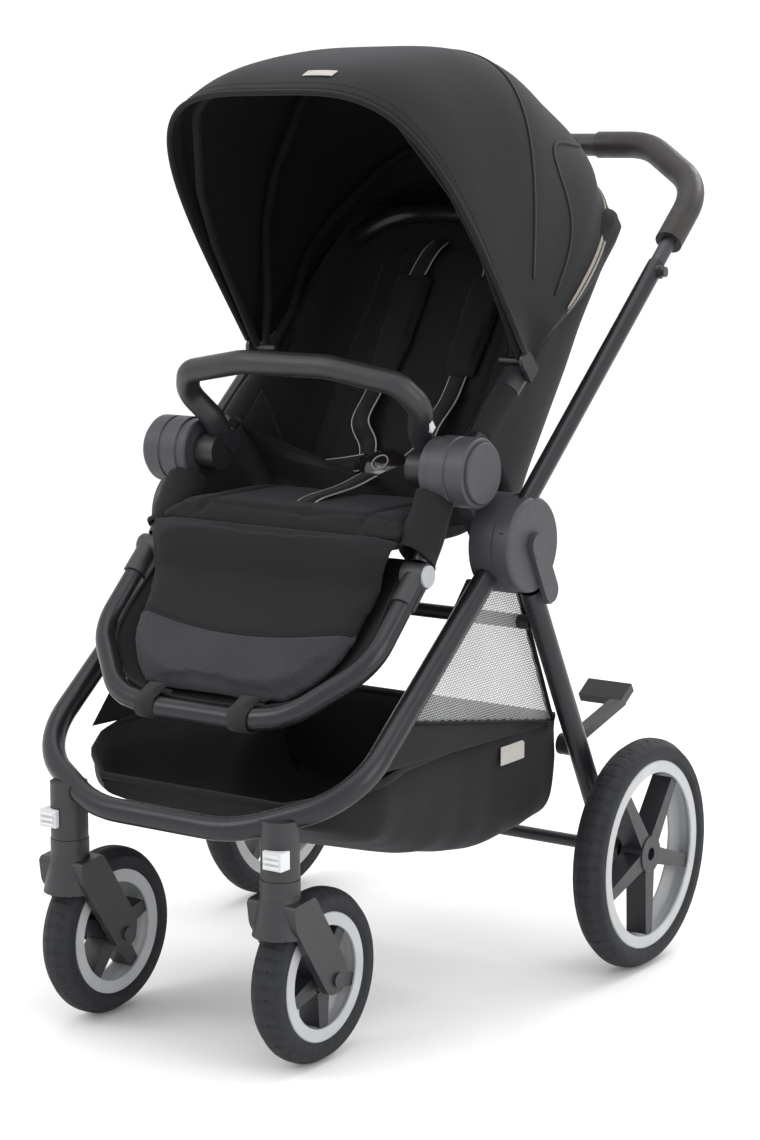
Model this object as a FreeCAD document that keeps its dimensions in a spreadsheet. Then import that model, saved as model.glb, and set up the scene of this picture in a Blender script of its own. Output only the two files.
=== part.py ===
import FreeCAD, Part
import math
import os
from types import SimpleNamespace

import Sketcher
from FreeCAD import Placement, Rotation, Vector

# Baby stroller: folding tube frame, two swivel casters, two large rear wheels and a
# reclining seat with a folding canopy.  +Z is up, the child looks along -Y, and the
# origin is on the ground, midway between the outermost points of the stroller.
# Inside this file y is measured from the rear axle and at() moves it to that origin.

SIZES = {
    # overall
    "overall_width": 600, "wheelbase": 501, "hub_height": 548, "hub_lead": 223,
    # wheels
    "rear_wheel": 282, "rear_tyre": 40, "front_wheel": 195, "front_tyre": 40,
    "tyre_depth": 25, "rim_lip": 15, "rim_wall": 4.5, "spoke_root": 11, "spoke_tip": 7.5,
    "axle": 16, "axle_play": 0.1, "front_axle": 10,
    # casters
    "caster_spacing": 297, "caster_trail": 60, "crown_rise": 26, "crown": 44,
    "crown_skirt": 62, "stem": 16, "socket_length": 46, "fork_gap": 3, "fork_leg": 9,
    "fork_end": 30, "swivel_gap": 0.5,
    # frame tubes
    "frame_tube": 27, "tube_wall": 1.8, "front_leg_x": 221.5, "front_bow": 100,
    "rear_leg_tube": 26, "rear_leg_x": 235, "cross_tube": 17, "cross_share": 0.25,
    # folding hub
    "hub_disc": 110, "hub_housing": 114, "housing_inner_x": 206, "housing_outer_x": 235,
    "disc_outer_x": 258, "arm_plate": 6, "arm_boss": 30, "fit_gap": 0.3, "seat_gap": 0.1,
    # handle
    "handle_angle": 40.5, "handle_offset": 37, "handle_tube": 22,
    "handle_outer": 425, "handle_reach": 651, "slider_tube": 18.4, "slider_wall": 1.5,
    "grip": 34, "grip_start": 465, "grip_end_x": 70, "stud": 12.6, "stud_length": 6.5,
    # seat
    "drum_lead": 64, "drum_rise": 86, "drum": 80, "drum_inner_x": 166, "drum_outer_x": 232,
    "seat_tube_x": 188, "seat_tube": 22, "legrest_lead": 71, "legrest_drop": 109,
    "back_tube": 26, "back_tube_x": 177, "back_tube_offset": 26, "back_tube_reach": 455,
    "pad_thickness": 30, "back_pad_length": 368.5, "back_pad_angle": 57.3,
    "legrest_angle": 43.6, "legrest_reach": 218, "legrest_x": 190, "legrest_tube": 25,
    "legrest_pad_half": 148, "legrest_pad_thickness": 14,
    # bumper bar
    "bumper": 28, "bumper_angle": 52.4, "bumper_offset": 21.5, "bumper_x": 148,
    "bumper_reach": 129,
    # canopy
    "canopy_lead": 142, "canopy_rise": 114, "canopy_half": 202, "canopy_cloth": 3,
    "bow": 10, "bow_start": 4, "hinge_plate_x": 196,
    # basket
    "basket_half": 203, "basket_wall": 3, "basket_rear": 80, "basket_bottom": 166,
}

doc = FreeCAD.newDocument("stroller")
sheet = doc.addObject("Spreadsheet::Sheet", "dims")
for row, (alias, number) in enumerate(SIZES.items(), start=1):
    sheet.set(f"A{row}", alias)
    sheet.set(f"B{row}", str(number))
    sheet.setAlias(f"B{row}", alias)
doc.recompute()
s = SimpleNamespace(**{alias: float(sheet.get(alias)) for alias in SIZES})

# ---------------------------------------------------------------- derived places
SIDES = (("left", 1), ("right", -1))
REAR_R = s.rear_wheel / 2
FRONT_R = s.front_wheel / 2
GRIP_R = s.grip / 2
TUBE_R = s.frame_tube / 2
HANDLE_GAP = 0.5
HANDLE_X = s.housing_outer_x + HANDLE_GAP + s.handle_tube / 2
ARM_BEYOND_DISC = 9
ARM_DROP = s.hub_disc / 2 + ARM_BEYOND_DISC


def unit(degrees):
    """Direction in the side view: 0 is rearward (+Y), 90 is up."""
    return (math.cos(math.radians(degrees)), math.sin(math.radians(degrees)))


def step(point, direction, length):
    return (point[0] + direction[0] * length, point[1] + direction[1] * length)


AXLE = (0.0, REAR_R)
HUB = (-s.hub_lead, s.hub_height)
SWIVEL_Y = -s.wheelbase - s.caster_trail
CROWN_TOP = s.front_wheel + s.crown_rise
SOCKET_BOTTOM = CROWN_TOP + s.swivel_gap
BOW_HEIGHT = SOCKET_BOTTOM + s.socket_length + TUBE_R
LEG_ANGLE = math.degrees(math.atan2(BOW_HEIGHT - HUB[1], SWIVEL_Y - HUB[0]))
LEG_RUN = math.hypot(BOW_HEIGHT - HUB[1], SWIVEL_Y - HUB[0])
LEG_DIR = unit(LEG_ANGLE)

HANDLE_DIR = unit(s.handle_angle)
HANDLE_FOOT = step(HUB, unit(s.handle_angle + 90), s.handle_offset)
HANDLE_TOP = step(HANDLE_FOOT, HANDLE_DIR, s.handle_reach)
STUD_RUN = s.handle_outer - s.stud

REAR_LEG_RUN = math.hypot(AXLE[0] - HUB[0], AXLE[1] - HUB[1])
REAR_LEG_DIR = ((AXLE[0] - HUB[0]) / REAR_LEG_RUN, (AXLE[1] - HUB[1]) / REAR_LEG_RUN)

DRUM = (HUB[0] - s.drum_lead, HUB[1] + s.drum_rise)
DRUM_R = s.drum / 2
LEGREST_HINGE = (DRUM[0] - s.legrest_lead, DRUM[1] - s.legrest_drop)
LEGREST_DIR = unit(180 + s.legrest_angle)
BACK_DIR = unit(s.handle_angle)
BACK_FOOT = step(DRUM, unit(s.handle_angle - 90), s.back_tube_offset)
BUMPER_DIR = unit(180 - s.bumper_angle)
BUMPER_FOOT = step(DRUM, unit(90 - s.bumper_angle), s.bumper_offset)
CANOPY_PIVOT = (DRUM[0] + s.canopy_lead, DRUM[1] + s.canopy_rise)
SEAT_HALF = s.seat_tube_x - s.seat_tube / 2 - s.fit_gap
BACK_HALF = s.back_tube_x - s.back_tube / 2 - s.fit_gap

# the foremost point is the front tyre, the rearmost one the handle grip
FRONT_END = -s.wheelbase - FRONT_R
REAR_END = max(HANDLE_TOP[0] + GRIP_R, REAR_R)
SHIFT = -(FRONT_END + REAR_END) / 2


def at(x, place):
    """Point of the model from x and a side-view place (y from the rear axle, z)."""
    return Vector(x, place[0] + SHIFT, place[1])


def slope(place, direction):
    """Local X stays sideways, local Y runs along a side-view direction."""
    along = Vector(0, direction[0], direction[1])
    sideways = Vector(1, 0, 0)
    turn = Rotation(sideways, along, sideways.cross(along), "XYZ")
    return Placement(at(0, place), turn)


def sideways(x, place, side):
    """Local Z runs outward along X on the given side."""
    return Placement(at(x, place), Rotation(Vector(0, 0, 1), Vector(side, 0, 0)))


# ---------------------------------------------------------------- building helpers
def bind(obj, **sizes):
    for prop, formula in sizes.items():
        obj.setExpression(prop, formula)
    return obj


def cylinder(name, radius, start, end):
    """Round bar between two points; radius is a sheet formula."""
    obj = doc.addObject("Part::Cylinder", name)
    bind(obj, Radius=radius)
    axis = end - start
    obj.Height = axis.Length
    obj.Placement = Placement(start, Rotation(Vector(0, 0, 1), axis))
    return obj


def cone(name, lower, upper, start, end):
    obj = doc.addObject("Part::Cone", name)
    bind(obj, Radius1=lower, Radius2=upper)
    obj.Height = (end - start).Length
    obj.Placement = Placement(start, Rotation(Vector(0, 0, 1), end - start))
    return obj


def across(name, radius, place, x1, x2):
    """Round bar along X."""
    return cylinder(name, radius, at(x1, place), at(x2, place))


def block(name, size, centre, turn=Rotation()):
    """Box about its centre; size holds three numbers or sheet formulas."""
    obj = doc.addObject("Part::Box", name)
    for prop, value in zip(("Length", "Width", "Height"), size):
        if isinstance(value, str):
            obj.setExpression(prop, value)
        else:
            setattr(obj, prop, value)
    doc.recompute([obj])
    half = Vector(obj.Length.Value / 2, obj.Width.Value / 2, obj.Height.Value / 2)
    obj.Placement = Placement(centre - turn.multVec(half), turn)
    return obj


def cut(name, base, tool):
    obj = doc.addObject("Part::Cut", name)
    obj.Base = base
    obj.Tool = tool
    return obj


def fuse(name, *shapes):
    obj = doc.addObject("Part::MultiFuse", name)
    obj.Shapes = list(shapes)
    obj.Refine = False
    return obj


def group(name, *shapes):
    """Separate solids kept together in one node."""
    obj = doc.addObject("Part::Compound", name)
    obj.Links = list(shapes)
    return obj


def tube(name, radius, wall, start, end):
    outer = cylinder(name + "_outer", radius, start, end)
    inner = cylinder(name + "_bore", f"{radius} - {wall}", start, end)
    return cut(name, outer, inner)


def corner(before, point, after, radius):
    """Tangent points and middle of the arc that rounds one corner."""
    a = (before - point).normalize()
    b = (after - point).normalize()
    half = math.acos(max(-1, min(1, a.dot(b)))) / 2
    reach = radius / math.tan(half)
    middle = point + (a + b).normalize() * (radius / math.sin(half) - radius)
    return point + a * reach, middle, point + b * reach


def rounded(points, radii, closed=False):
    """Straight runs joined by tangent arcs, as sketch geometry."""
    nodes = [Vector(u, v, 0) for u, v in points]
    count = len(nodes)
    corners = range(count) if closed else range(1, count - 1)
    arcs = {}
    for index in corners:
        radius = radii[index] if closed else radii[index - 1]
        if radius:
            arcs[index] = corner(nodes[index - 1], nodes[index], nodes[(index + 1) % count], radius)
    geometry = []
    for index in range(count if closed else count - 1):
        following = (index + 1) % count
        start = arcs[index][2] if index in arcs else nodes[index]
        end = arcs[following][0] if following in arcs else nodes[following]
        geometry.append(Part.LineSegment(start, end))
        if following in arcs:
            geometry.append(Part.Arc(*arcs[following]))
    return geometry


def origin_plane(body, role):
    return next(item for item in body.Origin.OriginFeatures if item.Role == role)


def new_body(name, placement):
    body = doc.addObject("PartDesign::Body", name)
    body.Placement = placement
    return body


def sketch_on(body, role, name, geometry):
    sketch = body.newObject("Sketcher::SketchObject", name)
    sketch.AttachmentSupport = [(origin_plane(body, role), "")]
    sketch.MapMode = "FlatFace"
    sketch.addGeometry(geometry, False)
    return sketch


def ring_sketch(body, role, name, centre, radii):
    """Circles about one centre whose radii are sheet formulas."""
    circles = [Part.Circle(Vector(centre[0], centre[1], 0), Vector(0, 0, 1), 1 + index)
               for index in range(len(radii))]
    sketch = sketch_on(body, role, name, circles)
    for index, formula in enumerate(radii):
        row = sketch.addConstraint(Sketcher.Constraint("Radius", index, 1 + index))
        sketch.renameConstraint(row, f"radius_{index}")
        sketch.setExpression(f"Constraints.radius_{index}", formula)
    return sketch


def bent_tube(name, placement, points, radii, sections):
    """Tube along a planar path that starts at local y = 0 and sets off along local Y."""
    body = new_body(name, placement)
    spine = sketch_on(body, "XY_Plane", name + "_path", rounded(points, radii))
    ring = ring_sketch(body, "XZ_Plane", name + "_section", (points[0][0], 0), sections)
    pipe = body.newObject("PartDesign::AdditivePipe", name + "_pipe")
    pipe.Profile = ring
    pipe.Spine = spine
    body.Tip = pipe
    return body


def pad(name, placement, role, outline, radii, length, middle=True):
    """Flat piece: rounded outline padded by a sheet formula or a number."""
    body = new_body(name, placement)
    sketch = sketch_on(body, role, name + "_outline", rounded(outline, radii, closed=True))
    feature = body.newObject("PartDesign::Pad", name + "_pad")
    feature.Profile = sketch
    if isinstance(length, str):
        feature.setExpression("Length", length)
    else:
        feature.Length = length
    feature.SideType = "Symmetric" if middle else "One side"
    body.Tip = feature
    return body


def turned(name, placement, outline, radii):
    """Turned piece: outline in (radius, height) revolved about local Z."""
    body = new_body(name, placement)
    sketch = sketch_on(body, "XZ_Plane", name + "_outline", rounded(outline, radii, closed=True))
    feature = body.newObject("PartDesign::Revolution", name + "_turn")
    feature.Profile = sketch
    feature.ReferenceAxis = (sketch, ["V_Axis"])
    feature.Angle = 360
    body.Tip = feature
    return body


parts = {}


def keep(obj):
    """Mark a document object as one finished sub-part."""
    obj.Label = obj.Name
    parts[obj.Name] = obj
    return obj


# ---------------------------------------------------------------- wheels
TREAD_MARKS = 20
SPOKES = 5


def tyre(name, placement, radius, width):
    half = width / 2
    bead = radius - s.tyre_depth
    outline = [(bead, -half + 4), (bead + 5, -half), (radius - 9, -half), (radius, -half + 13),
               (radius, half - 13), (radius - 9, half), (bead + 5, half), (bead, half - 4)]
    body = turned(name, placement, outline, [0, 4, 7, 14, 14, 7, 4, 0])
    for mark, side in (("a", 1), ("b", -1)):
        notch = body.newObject("PartDesign::SubtractiveBox", f"{name}_notch_{mark}")
        notch.Length = 6
        notch.Width = 2.5
        notch.Height = 11
        notch.Placement = Placement(Vector(radius - 1.1, 0, side * (half - 9) - 5.5), Rotation())
        ring = body.newObject("PartDesign::PolarPattern", f"{name}_tread_{mark}")
        ring.Originals = [notch]
        ring.Axis = (origin_plane(body, "Z_Axis"), [""])
        ring.Angle = 360
        ring.Occurrences = TREAD_MARKS
        body.Tip = ring
    return keep(body)


def rim(name, placement, radius, width):
    half = width / 2 - 3
    bead = radius - s.tyre_depth - 0.1
    lip = bead - s.rim_lip
    floor = bead - s.rim_wall
    outline = [(bead, -half), (bead, half), (lip, half), (lip, half - 3), (floor, half - 12),
               (floor, -half + 12), (lip, -half + 3), (lip, -half)]
    return keep(turned(name, placement, outline, [0, 2, 1, 1, 6, 6, 1, 1]))


def spokes(name, placement, radius, width, bore, boss):
    """Hub with five deep spokes that end at the lips of the rim."""
    half = width / 2 - 5
    tip = radius - s.tyre_depth - s.rim_lip - 0.3
    body = new_body(name, placement)
    rings = ring_sketch(body, "XY_Plane", name + "_hub_outline", (0, 0), [boss, bore])
    hub = body.newObject("PartDesign::Pad", name + "_hub")
    hub.Profile = rings
    hub.Length = 2 * half
    hub.SideType = "Symmetric"
    outline = [(s.axle, -s.spoke_root), (tip, -s.spoke_tip), (tip, s.spoke_tip), (s.axle, s.spoke_root)]
    arm_sketch = sketch_on(body, "XY_Plane", name + "_arm_outline", rounded(outline, [0, 2, 2, 0], True))
    arm = body.newObject("PartDesign::Pad", name + "_arm")
    arm.Profile = arm_sketch
    arm.Length = 2 * half - 3
    arm.SideType = "Symmetric"
    star = body.newObject("PartDesign::PolarPattern", name + "_star")
    star.Originals = [arm]
    star.Axis = (origin_plane(body, "Z_Axis"), [""])
    star.Angle = 360
    star.Occurrences = SPOKES
    body.Tip = star
    return keep(body)


REAR_WHEEL_X = s.overall_width / 2 - s.rear_tyre / 2
FRONT_AXLE_PLACE = (-s.wheelbase, FRONT_R)


def wheels():
    for label, side in SIDES:
        rear = sideways(side * REAR_WHEEL_X, AXLE, side)
        tyre(f"rear_tyre_{label}", rear, REAR_R, s.rear_tyre)
        rim(f"rear_rim_{label}", rear, REAR_R, s.rear_tyre)
        spokes(f"rear_spokes_{label}", rear, REAR_R, s.rear_tyre, "dims.axle / 2 + dims.axle_play", "23")
        front = sideways(side * s.caster_spacing / 2, FRONT_AXLE_PLACE, side)
        tyre(f"front_tyre_{label}", front, FRONT_R, s.front_tyre)
        rim(f"front_rim_{label}", front, FRONT_R, s.front_tyre)
        spokes(f"front_spokes_{label}", front, FRONT_R, s.front_tyre,
               "dims.front_axle / 2 + dims.axle_play", "17")


# ---------------------------------------------------------------- front frame and casters
LEG_START = 20
BOW_POINTS = [(s.front_leg_x, 0), (s.front_leg_x, LEG_RUN - LEG_START - 46),
              (s.front_bow, LEG_RUN - LEG_START + 21)]


def mirrored(points):
    return points + [(-x, v) for x, v in reversed(points)]


def front_bar(name, sections):
    place = slope(step(HUB, LEG_DIR, LEG_START), LEG_DIR)
    return bent_tube(name, place, mirrored(BOW_POINTS), [100, 150, 150, 100], sections)


def front_frame():
    keep(front_bar("front_frame", ["dims.frame_tube / 2", "dims.frame_tube / 2 - dims.tube_wall"]))


def caster_sockets():
    for label, side in SIDES:
        x = side * s.caster_spacing / 2
        top = (SWIVEL_Y, BOW_HEIGHT + TUBE_R * 0.4)
        post = cylinder(f"socket_post_{label}", "dims.crown / 2 - 0.7", at(x, (SWIVEL_Y, SOCKET_BOTTOM)),
                        at(x, top))
        bar = front_bar(f"socket_saddle_{label}", ["dims.frame_tube / 2 + dims.seat_gap"])
        bore = cylinder(f"socket_bore_{label}", "dims.stem / 2 + dims.fit_gap",
                        at(x, (SWIVEL_Y, SOCKET_BOTTOM)), at(x, (SWIVEL_Y, BOW_HEIGHT - TUBE_R - 8)))
        tools = fuse(f"socket_tools_{label}", bar, bore)
        keep(cut(f"caster_socket_{label}", post, tools))


def swivel_locks():
    """White sliding tabs on the front outer side of the sockets."""
    for label, side in SIDES:
        x = side * (s.caster_spacing / 2 + 9)
        z = SOCKET_BOTTOM + s.socket_length * 0.55
        plate = block(f"lock_plate_{label}", (24, 16, 20), at(x, (SWIVEL_Y - s.crown / 2 + 3, z)))
        ridges = [block(f"lock_ridge_{label}_{n}", (20, 3, 3),
                        at(x, (SWIVEL_Y - s.crown / 2 - 6, z + 6 * n))) for n in (-1, 0, 1)]
        body = fuse(f"lock_body_{label}", plate, *ridges)
        centre = side * s.caster_spacing / 2
        post = cylinder(f"lock_seat_{label}", "dims.crown / 2 - 0.7 + dims.fit_gap",
                        at(centre, (SWIVEL_Y, z - 20)), at(centre, (SWIVEL_Y, z + 20)))
        keep(cut(f"swivel_lock_{label}", body, post))


FORK_HALF = s.front_tyre / 2 + s.fork_gap + s.fork_leg


def caster_forks():
    drop = FRONT_AXLE_PLACE[1] - CROWN_TOP
    end = s.fork_end / 2
    outline = [(-end, drop - end), (end, drop - end), (end + 3, drop + end),
               (-s.caster_trail + s.crown / 2 - 2, -20), (-s.caster_trail - s.crown / 2 + 4, -24),
               (-s.caster_trail - s.crown / 2 + 8, -52)]
    for label, side in SIDES:
        x = side * s.caster_spacing / 2
        yoke = pad(f"fork_yoke_{label}", Placement(at(x, (-s.wheelbase, CROWN_TOP)), Rotation()), "YZ_Plane",
                   outline, [end * 0.9, end * 0.9, 20, 6, 6, 20], 2 * FORK_HALF)
        crown = cylinder(f"fork_crown_{label}", "dims.crown / 2", at(x, (SWIVEL_Y, CROWN_TOP - 26)),
                         at(x, (SWIVEL_Y, CROWN_TOP)))
        skirt = cone(f"fork_skirt_{label}", "dims.crown_skirt / 2", "dims.crown / 2",
                     at(x, (SWIVEL_Y, CROWN_TOP - 62)), at(x, (SWIVEL_Y, CROWN_TOP - 18)))
        stem = cylinder(f"fork_stem_{label}", "dims.stem / 2", at(x, (SWIVEL_Y, CROWN_TOP - 5)),
                        at(x, (SWIVEL_Y, CROWN_TOP + s.socket_length - 10)))
        whole = fuse(f"fork_whole_{label}", yoke, crown, skirt, stem)
        room = across(f"fork_room_{label}", "dims.front_wheel / 2 + 5", FRONT_AXLE_PLACE,
                      x - s.front_tyre / 2 - s.fork_gap, x + s.front_tyre / 2 + s.fork_gap)
        hole = across(f"fork_hole_{label}", "dims.front_axle / 2 + dims.seat_gap", FRONT_AXLE_PLACE,
                      x - FORK_HALF, x + FORK_HALF)
        keep(cut(f"caster_fork_{label}", whole, fuse(f"fork_tools_{label}", room, hole)))
        bolt = across(f"bolt_shank_{label}", "dims.front_axle / 2", FRONT_AXLE_PLACE,
                      x - FORK_HALF, x + FORK_HALF)
        heads = [across(f"bolt_head_{label}_{n}", "dims.front_axle / 2 + 3", FRONT_AXLE_PLACE,
                        x + n * FORK_HALF, x + n * (FORK_HALF + 3)) for n in (-1, 1)]
        keep(fuse(f"caster_axle_{label}", bolt, *heads))


# ---------------------------------------------------------------- folding hub
def hub_housings():
    """Inner hub housings: they hold the front legs and carry the seat adapters."""
    for label, side in SIDES:
        drum = across(f"housing_drum_{label}", "dims.hub_housing / 2", HUB,
                      side * s.housing_inner_x, side * s.housing_outer_x)
        leg = cylinder(f"housing_leg_{label}", "dims.frame_tube / 2 + dims.seat_gap",
                       at(side * s.front_leg_x, step(HUB, LEG_DIR, LEG_START)),
                       at(side * s.front_leg_x, step(HUB, LEG_DIR, s.hub_housing)))
        keep(cut(f"hub_housing_{label}", drum, leg))


def handle_bar_line(name, radius, start, end, side):
    return cylinder(name, radius, at(side * HANDLE_X, step(HANDLE_FOOT, HANDLE_DIR, start)),
                    at(side * HANDLE_X, step(HANDLE_FOOT, HANDLE_DIR, end)))


def fold_discs():
    discs = []
    for label, side in SIDES:
        inner = s.housing_outer_x + s.fit_gap
        depth = s.disc_outer_x - inner
        edge = s.hub_disc / 2
        outline = [(0, 0), (edge, 0), (edge, depth), (0, depth)]
        plate = turned(f"disc_plate_{label}", sideways(side * inner, HUB, side), outline, [0, 0, 5, 0])
        slot = handle_bar_line(f"disc_slot_{label}", "dims.handle_tube / 2 + dims.seat_gap", -28, 80, side)
        discs.append(cut(f"fold_disc_{label}", plate, slot))
    keep(group("fold_discs", *discs))


def leg_arms():
    """Teardrop plates outside the discs: they carry the rear legs on the hub pin."""
    arms = []
    angle = math.degrees(math.atan2(REAR_LEG_DIR[1], REAR_LEG_DIR[0]))
    for label, side in SIDES:
        inner = s.disc_outer_x + s.fit_gap
        foot = step(HUB, REAR_LEG_DIR, ARM_DROP)
        boss = across(f"arm_boss_{label}", "dims.arm_boss / 2", HUB, side * inner,
                      side * (inner + s.arm_plate + 1.5))
        tail = across(f"arm_tail_{label}", "dims.arm_boss / 2 - 1", foot, side * inner,
                      side * (inner + s.arm_plate))
        middle = step(HUB, REAR_LEG_DIR, ARM_DROP / 2)
        turn = Rotation(Vector(1, 0, 0), angle)
        length = f"dims.hub_disc / 2 + {ARM_BEYOND_DISC}"
        web = block(f"arm_web_{label}", ("dims.arm_plate", length, "dims.arm_boss - 2"),
                    at(side * (inner + s.arm_plate / 2), middle), turn)
        lug = across(f"arm_lug_{label}", "dims.arm_boss / 2 - 6", step(foot, REAR_LEG_DIR, 9),
                     side * (s.rear_leg_x + 8), side * (inner + 1))
        tube_room = cylinder(f"arm_seat_{label}", "dims.rear_leg_tube / 2 + dims.seat_gap",
                             at(side * s.rear_leg_x, step(HUB, REAR_LEG_DIR, 40)),
                             at(side * s.rear_leg_x, step(HUB, REAR_LEG_DIR, 120)))
        whole = fuse(f"arm_whole_{label}", boss, tail, web, lug)
        arms.append(cut(f"leg_arm_{label}", whole, tube_room))
    keep(group("rear_leg_arms", *arms))


# ---------------------------------------------------------------- rear legs, axle, brake
LEG_TOP = s.hub_housing / 2 + 9
FOOT_BLOCK = 24
CROSS_PLACE = step(HUB, REAR_LEG_DIR, REAR_LEG_RUN * s.cross_share)
PEDAL_PLACE = step(step(HUB, REAR_LEG_DIR, REAR_LEG_RUN * 0.66), (1, 0), 14)


def rear_legs():
    for label, side in SIDES:
        x = side * s.rear_leg_x
        keep(tube(f"rear_leg_{label}", "dims.rear_leg_tube / 2", "dims.tube_wall",
                  at(x, step(HUB, REAR_LEG_DIR, LEG_TOP)),
                  at(x, step(HUB, REAR_LEG_DIR, REAR_LEG_RUN - FOOT_BLOCK))))
    reach = s.rear_leg_x - s.rear_leg_tube / 2 - s.fit_gap
    keep(across("rear_crossbar", "dims.cross_tube / 2", CROSS_PLACE, -reach, reach))


def rear_axle():
    """Cross tube, wheel spindles and the moulded feet of the rear legs."""
    tip = s.overall_width / 2 - 12
    bar = across("axle_bar", "dims.axle / 2", AXLE, -tip, tip)
    feet = []
    for label, side in SIDES:
        inner = s.rear_leg_x - s.rear_leg_tube / 2
        outer = REAR_WHEEL_X - s.rear_tyre / 2 - 2
        feet.append(across(f"foot_boss_{label}", "dims.rear_leg_tube / 2 + 6", AXLE,
                           side * inner, side * outer))
        feet.append(cylinder(f"foot_plug_{label}", "dims.rear_leg_tube / 2 + 1.5",
                             at(side * s.rear_leg_x, step(HUB, REAR_LEG_DIR, REAR_LEG_RUN - FOOT_BLOCK)),
                             at(side * s.rear_leg_x, step(HUB, REAR_LEG_DIR, REAR_LEG_RUN - 9))))
    keep(fuse("rear_axle", bar, *feet))


def brake_pedal():
    """Foot pedal on the left leg: arm rearward and tread turned to the middle."""
    inner = s.rear_leg_x - s.rear_leg_tube / 2 - s.fit_gap
    boss = across("pedal_boss", "13", PEDAL_PLACE, inner - 20, inner)
    rise = unit(14)
    end = step(PEDAL_PLACE, rise, 132)
    arm = block("pedal_arm", (16, 132, 11), at(inner - 10, step(PEDAL_PLACE, rise, 66)),
                Rotation(Vector(1, 0, 0), 14))
    neck = step(end, unit(50), 8)
    tread = block("pedal_tread", (62, 30, 12), at(inner - 33, neck), Rotation(Vector(1, 0, 0), 32))
    keep(fuse("brake_pedal", boss, arm, tread))


# ---------------------------------------------------------------- handle
STUD_TILT = 2
STUD_ROOT = 7
COLLAR_RISE = 1


def stud_point(side, place, reach):
    """Point on the axis of a stud, which leans a little up the handle."""
    lean = math.radians(STUD_TILT)
    return at(side * (HANDLE_X + reach * math.cos(lean)), step(place, HANDLE_DIR, reach * math.sin(lean)))


def handle_tubes():
    studs = []
    for label, side in SIDES:
        x = side * HANDLE_X
        start = step(HANDLE_FOOT, HANDLE_DIR, -28)
        end = step(HANDLE_FOOT, HANDLE_DIR, s.handle_outer)
        keep(tube(f"handle_tube_{label}", "dims.handle_tube / 2", "dims.slider_wall",
                  at(x, start), at(x, end)))
        place = step(HANDLE_FOOT, HANDLE_DIR, STUD_RUN)
        root = stud_point(side, place, s.handle_tube / 2 - STUD_ROOT)
        base = stud_point(side, place, s.handle_tube / 2 + COLLAR_RISE)
        tip = stud_point(side, place, s.handle_tube / 2 + COLLAR_RISE + s.stud_length)
        collar = cylinder(f"stud_collar_{label}", "dims.stud / 2 + 2.2", root, base)
        pin = cylinder(f"stud_pin_{label}", "dims.stud / 2", root, tip)
        whole = fuse(f"stud_whole_{label}", collar, pin)
        seat = handle_bar_line(f"stud_seat_{label}", "dims.handle_tube / 2 + dims.seat_gap", STUD_RUN - 20,
                               STUD_RUN + 20, side)
        studs.append(cut(f"stud_{label}", whole, seat))
    keep(group("cup_holder_studs", *studs))


SLIDER_START = s.handle_outer - 110
TURN_RUN = s.handle_reach - 86
BEND_X = HANDLE_X - 104
BAR_POINTS = [(HANDLE_X, TURN_RUN), (BEND_X, s.handle_reach - 5)]


def handlebar():
    place = slope(step(HANDLE_FOOT, HANDLE_DIR, SLIDER_START), HANDLE_DIR)
    half = [(x, run - SLIDER_START) for x, run in [(HANDLE_X, SLIDER_START)] + BAR_POINTS]
    path = mirrored(half)
    turns = [90, 80, 80, 90]
    keep(bent_tube("handlebar_tube", place, path, turns,
                   ["dims.slider_tube / 2", "dims.slider_tube / 2 - dims.slider_wall"]))
    grips = []
    for label, side in SIDES:
        start = slope(step(HANDLE_FOOT, HANDLE_DIR, s.grip_start), HANDLE_DIR)
        sleeve = [(HANDLE_X, 0)] + [(x, run - s.grip_start) for x, run in BAR_POINTS]
        sleeve.append((s.grip_end_x, s.handle_reach - 5 - s.grip_start))
        sleeve = [(side * x, run) for x, run in sleeve]
        grips.append(bent_tube(f"grip_{label}", start, sleeve, [90, 80],
                               ["dims.grip / 2", "dims.slider_tube / 2 + dims.seat_gap"]))
    keep(group("handlebar_grip", *grips))
    height_housing()


BAR_CENTRE = step(HANDLE_FOOT, HANDLE_DIR, s.handle_reach - 5)


def height_housing():
    """Plain middle of the handlebar with the height button underneath."""
    edge = s.grip_end_x - s.fit_gap
    barrel = across("housing_barrel", "dims.grip / 2 - 2.5", BAR_CENTRE, -edge, edge)
    below = step(BAR_CENTRE, unit(s.handle_angle - 100), 12)
    turn = Rotation(Vector(1, 0, 0), s.handle_angle - 10)
    belly = block("housing_belly", (66, 20, 26), at(0, below), turn)
    room = across("housing_room", "dims.slider_tube / 2 + dims.seat_gap", BAR_CENTRE, -edge - 1, edge + 1)
    pocket_place = step(BAR_CENTRE, unit(s.handle_angle - 100), 21)
    pocket = block("housing_pocket", (42.6, 14.6, 9), at(0, pocket_place), turn)
    keep(cut("handlebar_housing", fuse("housing_whole", barrel, belly), fuse("housing_tools", room, pocket)))
    button_place = step(pocket_place, unit(s.handle_angle - 100), 2.6)
    keep(block("height_button", (42, 14, 7), at(0, button_place), turn))


# ---------------------------------------------------------------- seat frame
def seat_drums():
    depth = s.drum_outer_x - s.drum_inner_x
    edge = DRUM_R
    outline = [(0, 0), (edge - 2, 0), (edge - 2, 13), (edge, 14), (edge, 34), (edge - 1.5, 35),
               (edge - 1.5, 38), (edge, 39), (edge, depth - 5), (edge - 5, depth - 5), (edge - 5, depth),
               (0, depth)]
    for label, side in SIDES:
        keep(turned(f"seat_drum_{label}", sideways(side * s.drum_inner_x, DRUM, side), outline,
                    [0, 3, 0, 0, 0, 0, 0, 0, 3, 0, 2, 0]))


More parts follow.
